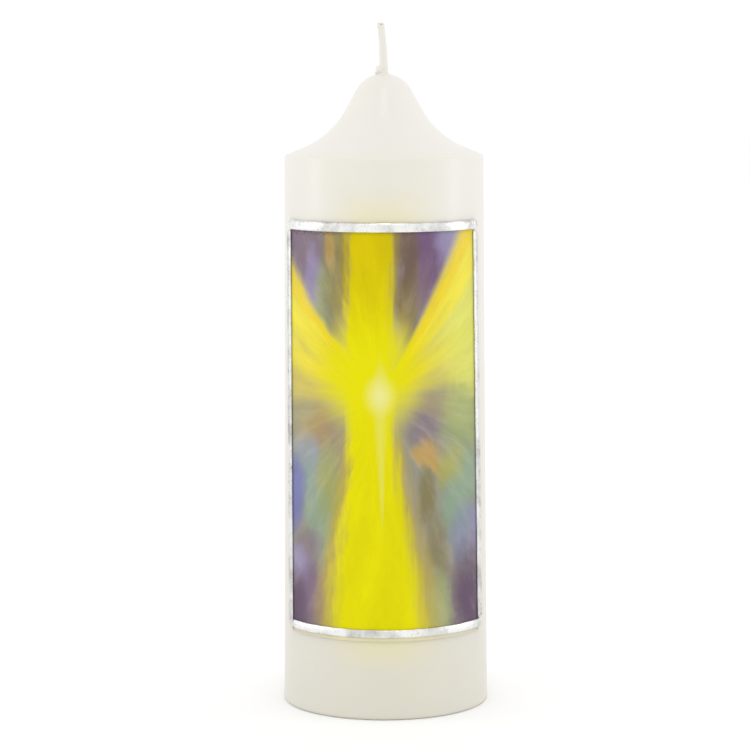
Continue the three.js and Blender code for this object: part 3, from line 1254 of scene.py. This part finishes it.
@dataclass(frozen=True)
class Outline:
    """The candle's outline: a round nose, a straight neck, a cove, a sloping ledge and a drafted wall."""

    base_radius: float
    box_height: float
    channel_radius: float = 1.5 * MM
    nose_radius: float = 10.8 * MM
    neck_length: float = 7 * MM
    neck_angle: float = math.radians(28.5)
    ledge_width: float = 6 * MM
    ledge_slope: float = math.radians(22)
    draft: float = 1.4 * MM
    shoulder_round: float = 1 * MM
    foot_round: float = 1.2 * MM

    @property
    def nose_height(self) -> float:
        """The height of the nose's centre. The box stops where the wick's channel cuts the nose."""
        return self.box_height - math.sqrt(self.nose_radius**2 - self.channel_radius**2)

    @property
    def cove(self) -> tuple[Point, float]:
        """The cove's centre and radius: it fills what is left between the neck and the ledge."""
        out, up = math.cos(self.neck_angle), math.sin(self.neck_angle)
        foot = (
            out * self.nose_radius + up * self.neck_length,
            self.nose_height + up * self.nose_radius - out * self.neck_length,
        )
        span = self.base_radius - self.draft - self.ledge_width - foot[0]
        radius = span / (out - math.sin(self.ledge_slope))
        return (foot[0] + out * radius, foot[1] + up * radius), radius

    @property
    def shoulder_height(self) -> float:
        """Where the ledge meets the wall."""
        (_, height), radius = self.cove
        return height - math.cos(self.ledge_slope) * radius - self.ledge_width * math.tan(self.ledge_slope)

    @property
    def lean(self) -> float:
        """How much the wall's radius shrinks for each metre of height."""
        return self.draft / self.shoulder_height

    def nose_level(self, radius: float, inset: float = 0.0) -> float:
        """The height of the nose at a radius, for a surface that lies inset under the candle's own."""
        return self.nose_height + math.sqrt((self.nose_radius - inset) ** 2 - radius**2)

    def points(self, inset: float) -> list[Point]:
        """The outline from the wick's channel down to the table.

        Args:
            inset: How far it lies under the candle's own surface.

        Returns:
            Its points, as radii and heights.
        """
        nose = self.nose_radius - inset
        ledge = math.pi / 2 - self.ledge_slope
        wall = math.atan(self.lean)
        foot = self.base_radius - inset / math.cos(wall)
        centre, radius = self.cove
        return [
            *arc((0.0, self.nose_height), nose, math.acos(self.channel_radius / nose), self.neck_angle, 20),
            *arc(centre, radius + inset, math.pi + self.neck_angle, math.pi + ledge, 24),
            *rounded(self.shoulder(inset, foot), self.shoulder_round - inset, ledge, wall),
            *rounded((foot, 0.0), self.foot_round - inset, wall, -math.pi / 2),
        ]

    def shoulder(self, inset: float, foot: float) -> Point:
        """The corner between the ledge and the wall before it is rounded.

        Args:
            inset: How far both lie under the candle's own surface.
            foot: The wall's radius at the table.

        Returns:
            The corner.
        """
        drop = math.tan(self.ledge_slope)
        radius = self.base_radius - self.draft
        level = self.shoulder_height - inset / math.cos(self.ledge_slope) + radius * drop
        height = (level - foot * drop) / (1 - self.lean * drop)
        return foot - height * self.lean, height


def turned_blank(name: str, outside: list[Point], inside: list[Point], axle: float) -> bpy.types.Mesh:
    """A closed outline as a ring of edges, for TurnedShape.

    Args:
        name: The mesh's name.
        outside: The skin's points, from the top down.
        inside: The other points, from the bottom up.
        axle: The radius of the circle that it is swept round.

    Returns:
        The mesh, with its skin marked.
    """
    points = [(r - axle, -z, 0.0) for r, z in outside + inside]
    edges = [(i, (i + 1) % len(points)) for i in range(len(points))]
    skin = [1.0] * len(outside) + [0.0] * len(inside)
    return stored_mesh(name, points, edges, [], {"skin": skin})


@dataclass
class CandleBody:
    """The cast core and its dipped coat."""

    outline: Outline
    turned: TurnedShape
    wax: DippedWax
    coat_thickness: float = 1.6 * MM
    layer_gap: float = 0.08 * MM
    coat_sides: int = 240
    core_sides: int = 144
    axle: float = 1 * MM
    coat_step: float = 1 * MM
    core_step: float = 6 * MM
    unevenness: float = 0.16 * MM
    socket_radius: float = 2.03 * MM
    socket_top: float = 3.9 * MM
    pocket_radius: float = 7.8 * MM
    pocket_top: float = 0.78 * MM

    def build(self) -> None:
        """Makes the coat and the core."""
        self.coat()
        self.core()

    def coat(self) -> bpy.types.Object:
        """The dipped coat: a shell that is open underneath."""
        outside = evenly(self.outline.points(0.0), self.coat_step)
        inside = evenly(self.outline.points(self.coat_thickness), self.core_step)[::-1]
        blank = turned_blank("coat_outline", outside, inside, self.axle)
        piece = self.turned.make(
            "candle_coat",
            blank,
            {
                "Sides": self.coat_sides,
                "Axle": self.axle,
                "Unevenness": self.unevenness,
                "Grain": 45.0,
                "Still Below": 1.5 * MM,
                **self.turned.plain,
                "Finish": self.wax.material("dipped_wax"),
            },
        )
        piece.data.set_sharp_from_angle(angle=math.radians(50))
        return settle(piece, "coat_wax", "dip_coat")

    def core(self) -> bpy.types.Object:
        """The core, with the wick's channel through it and a pocket for the sustainer underneath."""
        outside = evenly(self.outline.points(self.coat_thickness + self.layer_gap), self.core_step)
        underside = [
            (self.pocket_radius, 0.0),
            (self.pocket_radius, self.pocket_top),
            (self.socket_radius, self.pocket_top),
            (self.socket_radius, self.socket_top),
            (self.outline.channel_radius, self.socket_top),
        ]
        blank = turned_blank("core_outline", outside, evenly(underside, self.core_step), self.axle)
        piece = self.turned.make(
            "candle_core",
            blank,
            {
                "Sides": self.core_sides,
                "Axle": self.axle,
                **self.turned.plain,
                "Finish": CastWax().material("cast_wax"),
            },
        )
        piece.data.set_sharp_from_angle(angle=math.radians(35))
        return settle(piece, "core_wax", "wax_core")


@dataclass
class Wick:
    """The braided wick, the wax that the dips left round it, and the tin sustainer at its foot."""

    outline: Outline
    turned: TurnedShape
    braid: BraidedShape
    wax: DippedWax
    axle: float = 1 * MM
    strands_each_way: int = 4
    pitch: float = 5.5 * MM
    middle_radius: float = 0.73 * MM
    weave: float = 0.27 * MM
    strand_radius: float = 0.34 * MM
    step: float = 0.2 * MM
    lean: float = -1 * MM
    sheath_tip: float = 1.24 * MM
    sheath_root: float = 1.52 * MM
    sheath_bore: float = 1 * MM
    sheath_stop: float = 0.5 * MM
    sheath_round: float = 0.2 * MM
    sheath_taper: float = 0.9 * MM
    flange_radius: float = 2.7 * MM
    flange_lip: float = 0.3 * MM
    sink: float = 0.1 * MM
    lump: float = 1.3 * MM
    lump_reach: float = 2 * MM
    tin_sheet: float = 0.3 * MM
    tin_round: float = 0.12 * MM
    tin_lip: float = 0.1 * MM
    tin_step: float = 0.4 * MM
    neck_bore: float = 1.43 * MM
    ring_share: float = 0.66

    @property
    def foot(self) -> float:
        """The height of the wick's lower end."""
        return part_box("wick")[0].z

    @property
    def tip(self) -> float:
        """The height of the wick's upper end."""
        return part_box("wick")[1].z

    @property
    def bend(self) -> dict[str, float]:
        """The inputs that bend a piece with the wick."""
        return {"Lean": self.lean, "Lean From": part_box("wick_collar")[1].z, "Lean To": self.tip}

    def build(self) -> None:
        """Makes the three pieces."""
        self.cotton()
        self.sheath()
        self.sustainer()

    def cotton(self) -> bpy.types.Object:
        """The braid, from the sustainer to the tip."""
        low, high = self.foot, self.tip
        count = round((high - low) / self.step)
        heights = [low + (high - low) * i / count for i in range(count + 1)]
        edges = [(i, i + 1) for i in range(count)]
        blank = stored_mesh("wick_line", [(0.0, 0.0, z) for z in heights], edges, [], {})
        piece = self.braid.make(
            "wick_braid",
            blank,
            {
                "Strands Each Way": self.strands_each_way,
                "Pitch": self.pitch,
                "Middle Radius": self.middle_radius,
                "Weave": self.weave,
                "Strand Radius": self.strand_radius,
                "Strand Sides": 6,
                **self.bend,
                "Finish": Cotton().material("waxed_cotton"),
            },
        )
        return settle(piece, "wick_cotton", "wick")

    def sheath(self) -> bpy.types.Object:
        """The wax round the wick's stub: a thin sheath that thickens to a lump and a fillet at the root."""
        root = self.outline.nose_level(self.flange_radius)
        top = self.tip - self.sheath_stop
        bore, edge = self.sheath_bore, self.sheath_round
        rise = self.flange_radius - self.sheath_root
        fillet = arc((self.flange_radius, root + rise), rise, math.pi, 1.42 * math.pi, 10)
        tip_round = arc((self.sheath_tip - edge, top - edge), edge, math.pi / 2, 0.0, 4)
        outside = evenly([*tip_round, (self.sheath_root, root + rise + self.sheath_taper), *fillet], edge)
        seat = [
            (self.flange_radius - self.flange_lip, root - self.sink),
            (bore, self.outline.nose_level(bore) - self.sink),
        ]
        inside = evenly([*seat, (bore, top)], 1 * MM)
        piece = self.turned.make(
            "wick_wax",
            turned_blank("wick_wax_outline", outside, inside, self.axle),
            {
                "Sides": 72,
                "Axle": self.axle,
                "Unevenness": 0.14 * MM,
                "Grain": 420.0,
                "Ripple": 0.045 * MM,
                "Ripple Count": float(self.strands_each_way),
                "Ripple Pitch": self.pitch / self.strands_each_way * 2,
                "Knob Rise": self.lump,
                "Knob Place": (-self.sheath_root, 0.0, root + self.lump),
                "Knob Reach": self.lump_reach,
                **self.bend,
                "Finish": self.wax.material("wick_wax"),
            },
        )
        return settle(piece, "coat_wax", "wick_collar")

    def sustainer(self) -> bpy.types.Object:
        """The pressed disc and its neck, with a raised ring round the disc."""
        low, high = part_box("wick_sustainer")
        rim, bottom, top = high.x, low.z, high.z
        bore, sheet = self.neck_bore, self.tin_sheet
        neck = bore + sheet
        fillet, hollow = sheet * 1.2, sheet * 1.6
        outside = [
            *rounded((bore, top), self.tin_lip, math.pi, math.pi / 2, 3),
            *rounded((neck, top), self.tin_lip, math.pi / 2, 0.0, 3),
            *arc((neck + fillet, bottom + sheet + fillet), fillet, math.pi, 1.5 * math.pi, 5),
            *self.ring(rim * self.ring_share, bottom + sheet, 1),
            *rounded((rim, bottom + sheet), self.tin_round, math.pi / 2, 0.0, 4),
            *rounded((rim, bottom), self.tin_round, 0.0, -math.pi / 2, 4),
        ]
        inside = [
            *self.ring(rim * self.ring_share, bottom, -1),
            *arc((bore + hollow, bottom + hollow), hollow, 1.5 * math.pi, math.pi, 5),
        ]
        lines = [evenly(line, self.tin_step) for line in (outside, inside)]
        piece = self.turned.make(
            "sustainer",
            turned_blank("sustainer_outline", *lines, self.axle),
            {
                "Sides": 96,
                "Axle": self.axle,
                **self.turned.plain,
                "Finish": Tinplate().material("tinplate"),
            },
        )
        piece.data.set_sharp_from_angle(angle=math.radians(45))
        return settle(piece, "tinplate", "wick_sustainer")

    def ring(self, radius: float, level: float, way: int) -> list[Point]:
        """A shallow pressed ring in the disc.

        Args:
            radius: The ring's middle.
            level: The height of the disc's face.
            way: 1 for points outwards, -1 for points inwards.

        Returns:
            The points over the ring.
        """
        wide, tall, steps = 0.9 * MM, 0.1 * MM, 8
        shares = [i / steps for i in range(steps + 1)][::way]
        return [(radius + (s - 0.5) * 2 * wide, level + tall * math.sin(math.pi * s) ** 2) for s in shares]


class Run(Enum):
    """Which way a strip runs: the unit vectors along and across it on the flat."""

    LEVEL = ((1.0, 0.0), (0.0, 1.0))
    UPRIGHT = ((0.0, 1.0), (-1.0, 0.0))


@dataclass(frozen=True)
class Strip:
    """A strip of silvered wax, as a rectangle on the flat."""

    name: str
    node: str
    run: Run
    left: float
    right: float
    low: float
    high: float
    seed: int
    foil: Foil = Foil()
    wander: float = 0.22 * MM
    crumple: float = 0.16 * MM
    crumpled_end: float = 14 * MM

    @property
    def length(self) -> float:
        """How long it is."""
        return self.right - self.left if self.run is Run.LEVEL else self.high - self.low

    @property
    def width(self) -> float:
        """How wide it is."""
        return self.high - self.low if self.run is Run.LEVEL else self.right - self.left

    def blank(self, step: float, face_points: int, under_points: int) -> bpy.types.Mesh:
        """The flat strip: a closed tube of flattened rings.

        Args:
            step: How far apart its rings are.
            face_points: How many points a ring has over the face.
            under_points: How many more it has on the underside.

        Returns:
            The mesh, with "aside", "swell" and "reach" on its points.
        """
        along, across = (Vector((*way, 0.0)) for way in self.run.value)
        middle = Vector(((self.left + self.right) / 2, (self.low + self.high) / 2, 0.0))
        start = middle - along * (self.length / 2)
        ring = ring_of(face_points, under_points)
        stations = self.stations(step)
        points, aside, swell, reach = [], [], [], []
        for place, slim in stations:
            for side, rise in ring:
                points.append(start + along * place + across * (side * self.width / 2 * (0.5 + 0.5 * slim)))
                aside.append(side)
                swell.append(rise * slim)
                reach.append(min(place, self.length - place))
        count = len(ring)
        turns = [(j, (j + 1) % count) for j in range(count)]
        faces: list[Sequence[int]] = [
            (row + j, row + k, row + count + k, row + count + j)
            for row in range(0, (len(stations) - 1) * count, count)
            for j, k in turns
        ]
        last = (len(stations) - 1) * count
        faces += [range(count)[::-1], range(last, last + count)]
        numbers = {"aside": aside, "swell": swell, "reach": reach}
        return stored_mesh(self.name + "_flat", points, [], faces, numbers)

    def stations(self, step: float) -> list[tuple[float, float]]:
        """Where the rings stand along the strip, and how full each is, from its rounded ends to 1.

        Args:
            step: How far apart they are in the middle.

        Returns:
            Pairs of place and fullness.
        """
        end, turns = 0.9 * MM, 6
        angles = (math.pi / 2 * (i + 0.6) / turns for i in range(turns))
        ends = [(end * (1 - math.cos(a)), math.sin(a)) for a in angles]
        count = round((self.length - 2 * end) / step)
        body = [(end + (self.length - 2 * end) * i / count, 1.0) for i in range(count + 1)]
        return ends + body + [(self.length - place, full) for place, full in reversed(ends)]


def ring_of(face_points: int, under_points: int) -> list[Point]:
    """A strip's section: a soft-cornered face over a flat underside.

    Args:
        face_points: How many points go over the face, both edges included.
        under_points: How many more go back underneath.

    Returns:
        Places across from 1 to -1 and back, each with its rise from 0 to 1.
    """
    blunt = 2 / 3.4
    face = []
    for i in range(face_points):
        angle = math.pi * i / (face_points - 1)
        side = math.copysign(abs(math.cos(angle)) ** blunt, math.cos(angle))
        face.append((side, max(0.0, math.sin(angle)) ** blunt))
    under = [(-1 + 2 * (i + 1) / (under_points + 1), 0.0) for i in range(under_points)]
    return face + under


@dataclass
class Picture:
    """The print, its backing sheet, and the frame of silvered strips over its edges."""

    outline: Outline
    sheet: WrappedSheet
    draped: DrapedStrip
    width: float = 76.2 * MM
    foot: float = 26.9 * MM
    head: float = 23.2 * MM
    turn: float = math.radians(-1.6)
    lean: float = 1.75 * MM
    backing: float = 0.35 * MM
    film: float = 0.12 * MM
    gap: float = 0.08 * MM
    joint: float = 0.3 * MM
    face: float = 1.4 * MM
    top_width: float = 3.2 * MM
    bottom_width: float = 2.8 * MM
    left_width: float = 3 * MM
    right_width: float = 3.2 * MM
    lap: float = 0.8 * MM
    show: float = 1.2 * MM
    tail: float = 0.4 * MM
    slack: float = 0.15 * MM
    run: float = 0.45 * MM
    film_step: float = 1.2 * MM
    strip_step: float = 0.22 * MM

    def __post_init__(self) -> None:
        """Works out where the picture's edges are on the flat."""
        middle = self.turn * self.outline.base_radius
        self.left = middle - self.width / 2
        self.right = middle + self.width / 2
        self.high = self.outline.shoulder_height - self.head

    def build(self) -> None:
        """Makes the print and the strips, and dresses the backing sheet."""
        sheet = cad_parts["picture_backing"]
        sheet.material_slots[0].material = RolledWax().material("rolled_wax")
        self.print()
        for strip in self.strips():
            self.lay(strip)

    @property
    def wrap(self) -> dict[str, float]:
        """The inputs that bend a flat piece round the candle."""
        return {
            "Base Radius": self.outline.base_radius,
            "Draft": self.outline.lean,
            "Lean": -self.lean / (self.high - self.foot) / self.outline.base_radius,
            "Lean About": (self.foot + self.high) / 2,
        }

    def print(self) -> bpy.types.Object:
        """The printed film."""
        inner = self.gap * 2 + self.backing
        columns = math.ceil(self.width / self.film_step)
        rows = math.ceil((self.high - self.foot) / self.film_step)
        corners = (self.left, self.foot), (self.right, self.high)
        blank = flat_slab("print_flat", *corners, inner, self.film, columns, rows)
        middle = (self.left + self.right) / 2
        painting = Painting(width=self.width, height=self.high - self.foot, middle=middle)
        values = {"Unevenness": 0.02 * MM, "Grain": 90.0, "Finish": painting.material("painted_print")}
        piece = self.sheet.make("picture_print", blank, {**self.wrap, **values})
        return settle(piece, "picture_print", "picture_film")

    def strips(self) -> list[Strip]:
        """The four strips as they are laid, the top one from edge to edge."""
        left_inner = self.left + self.lap
        right_inner = self.right - self.lap
        left_outer = left_inner - self.left_width
        right_outer = right_inner + self.right_width
        top_low = self.high - self.lap
        bottom_low = self.foot + self.show
        bottom_high = bottom_low + self.bottom_width
        side_high = top_low - self.joint
        # The upright strips take a darker copy of the same foil: painted shade, as they turn away at the
        # sides.
        shaded_side_foil = Foil(bright=srgb(222, 222, 220), rubbed=srgb(176, 175, 171), crease_shade=srgb(132, 131, 128))
        return [
            Strip(
                "silver_strip_top", "strip_top", Run.LEVEL, left_outer, right_outer, top_low,
                top_low + self.top_width, 3, wander=0.34 * MM,
            ),
            Strip(
                "silver_strip_bottom", "strip_bottom", Run.LEVEL, left_inner + self.joint, right_outer,
                bottom_low, bottom_high, 11,
            ),
            Strip(
                "silver_strip_left", "strip_left", Run.UPRIGHT, left_outer, left_inner,
                bottom_low - self.tail, side_high, 19, shaded_side_foil, crumple=0.1 * MM, crumpled_end=7 * MM,
            ),
            Strip(
                "silver_strip_right", "strip_right", Run.UPRIGHT, right_inner, right_outer,
                bottom_high + self.joint, side_high, 27, shaded_side_foil, crumple=0.1 * MM, crumpled_end=7 * MM,
            ),
        ]

    def lay(self, strip: Strip) -> bpy.types.Object:
        """Lays one strip over the print's edge.

        Args:
            strip: The strip.

        Returns:
            The finished piece.
        """
        # The upright strips' foil is the darker copy, painted shade; the level strips' foil is the bright
        # one.
        name = "silver_leaf_" + strip.run.name.lower()
        foil = bpy.data.materials.get(name) or strip.foil.material(name)
        values = {
            **self.wrap,
            "Picture Low Corner": (self.left, self.foot, 0.0),
            "Picture High Corner": (self.right, self.high, 0.0),
            "Under On Print": self.gap * 3 + self.backing + self.film,
            "Under On Wall": self.gap,
            "Face": self.face,
            "Slack": self.slack,
            "Run": self.run,
            "Across": (*strip.run.value[1], 0.0),
            "Wander": strip.wander,
            "Crease": 0.09 * MM,
            "Crumple": strip.crumple,
            "Crumpled End": strip.crumpled_end,
            "Crumbs": 1.6e6,
            "Crumb Radius": 0.12 * MM,
            "Seed": strip.seed,
            "Finish": foil,
        }
        piece = self.draped.make(strip.name, strip.blank(self.strip_step, 25, 8), values)
        return settle(piece, "silver_foil", strip.node)


def flat_slab(
    name: str, low: Point, high: Point, rise: float, thickness: float, columns: int, rows: int
) -> bpy.types.Mesh:
    """A flat closed sheet with its own UV map.

    Args:
        name: The mesh's name.
        low: Its lower left corner.
        high: Its upper right corner.
        rise: How high its underside lies.
        thickness: Its thickness.
        columns: How many cells wide it is.
        rows: How many cells tall it is.

    Returns:
        The mesh.
    """
    wide = columns + 1
    layer = wide * (rows + 1)

    def at(column: int, row: int, top: int) -> int:
        """The number of a point."""
        return top * layer + row * wide + column

    shares = [(i / columns, j / rows, top) for top in (0, 1) for j in range(rows + 1) for i in range(wide)]
    points = [
        (low[0] + (high[0] - low[0]) * u, low[1] + (high[1] - low[1]) * v, rise + thickness * top)
        for u, v, top in shares
    ]
    faces: list[Sequence[int]] = []
    for j in range(rows):
        for i in range(columns):
            faces.append([at(i, j, 1), at(i + 1, j, 1), at(i + 1, j + 1, 1), at(i, j + 1, 1)])
            faces.append([at(i, j, 0), at(i, j + 1, 0), at(i + 1, j + 1, 0), at(i + 1, j, 0)])
    for i in range(columns):
        faces.append([at(i, 0, 0), at(i + 1, 0, 0), at(i + 1, 0, 1), at(i, 0, 1)])
        faces.append([at(i, rows, 0), at(i, rows, 1), at(i + 1, rows, 1), at(i + 1, rows, 0)])
    for j in range(rows):
        faces.append([at(0, j, 0), at(0, j, 1), at(0, j + 1, 1), at(0, j + 1, 0)])
        faces.append([at(columns, j, 0), at(columns, j + 1, 0), at(columns, j + 1, 1), at(columns, j, 1)])
    mesh = stored_mesh(name, points, [], faces, {})
    layer_uv = mesh.uv_layers.new(name="UVMap")
    for loop in mesh.loops:
        u, v, _ = shares[loop.vertex_index]
        layer_uv.data[loop.index].uv = (u, v)
    return mesh


# --------------------------------------------------------------------------------------------------- studio


@dataclass(frozen=True)
class Softbox:
    """An area light that points at the candle's middle."""

    name: str
    place: tuple[float, float, float]
    wide: float
    tall: float
    power: float


@dataclass
class Studio:
    """A white room: an even sky, softboxes at both sides and overhead, a pale floor and a long lens."""

    camera_place: tuple[float, float, float] = (-3.3 * MM, -935 * MM, 224.5 * MM)
    camera_target: tuple[float, float, float] = (-3.3 * MM, 0.0, 111.75 * MM)
    camera_roll: float = math.radians(0.215)
    lens: float = 132.7
    sky: float = 1.05
    floor_radius: float = 6.0

    def softboxes(self) -> list[Softbox]:
        """The lights."""
        return [
            Softbox("left_softbox", (-1.3, -0.1, 0.3), 0.3, 1.0, 2.3),
            Softbox("right_softbox", (1.3, -0.1, 0.3), 0.3, 1.0, 2.3),
            Softbox("overhead_softbox", (0.0, -0.7, 1.3), 0.22, 0.32, 1.15),
        ]

    def build(self) -> None:
        """Sets up the camera, the lights and the floor."""
        self.camera()
        self.light()
        self.floor()

    def camera(self) -> None:
        """The camera, a little over the candle's middle and turned by a trace."""
        camera = bpy.data.objects.new("camera", bpy.data.cameras.new("camera"))
        bpy.context.scene.collection.objects.link(camera)
        camera.location = self.camera_place
        aim = Vector(self.camera_target) - Vector(self.camera_place)
        level = aim.to_track_quat("-Z", "Y")
        camera.rotation_mode = "QUATERNION"
        camera.rotation_quaternion = level @ Quaternion((0.0, 0.0, 1.0), -self.camera_roll)
        camera.data.lens = self.lens
        camera.data.clip_start = 0.05
        bpy.context.scene.camera = camera

    def light(self) -> None:
        """The sky and the softboxes."""
        world = bpy.data.worlds.new("white_room")
        world.use_nodes = True
        background = next(node for node in world.node_tree.nodes if node.type == "BACKGROUND")
        background.inputs["Color"].default_value = (1.0, 1.0, 1.0, 1.0)
        background.inputs["Strength"].default_value = self.sky
        bpy.context.scene.world = world
        bpy.context.scene.view_settings.view_transform = "Standard"
        for box in self.softboxes():
            data = bpy.data.lights.new(box.name, "AREA")
            data.shape = "RECTANGLE"
            data.size, data.size_y = box.wide, box.tall
            data.energy = box.power
            lamp = bpy.data.objects.new(box.name, data)
            bpy.context.scene.collection.objects.link(lamp)
            lamp.location = box.place
            aim = Vector((0.0, 0.0, 0.12)) - Vector(box.place)
            lamp.rotation_mode = "QUATERNION"
            lamp.rotation_quaternion = aim.to_track_quat("-Z", "Y")

    def floor(self) -> None:
        """A wide sheet of white paper under the candle."""
        sides = 64
        rim = [
            (self.floor_radius * math.cos(a), self.floor_radius * math.sin(a), 0.0)
            for a in (2 * math.pi * i / sides for i in range(sides))
        ]
        mesh = stored_mesh("floor", rim, [], [range(sides)], {})
        mesh.materials.append(Paper().material("white_paper"))
        sheet = bpy.data.objects.new("floor", mesh)
        bpy.context.scene.collection.objects.link(sheet)


def main() -> None:
    """Builds the candle piece by piece, then the studio."""
    logging.basicConfig(level=logging.INFO, format="%(message)s")
    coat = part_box("dip_coat")[1]
    outline = Outline(base_radius=coat.x, box_height=coat.z)
    picture_foot, picture_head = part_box("picture_film")
    wax = DippedWax(picture_low=picture_foot.z, picture_high=picture_head.z, height=coat.z)
    turned = TurnedShape("turned_shape")
    CandleBody(outline, turned, wax).build()
    Wick(outline, turned, BraidedShape("braided_shape"), wax).build()
    Picture(outline, WrappedSheet("wrapped_sheet"), DrapedStrip("draped_strip")).build()
    Studio().build()


if __name__ == "__main__":
    main()
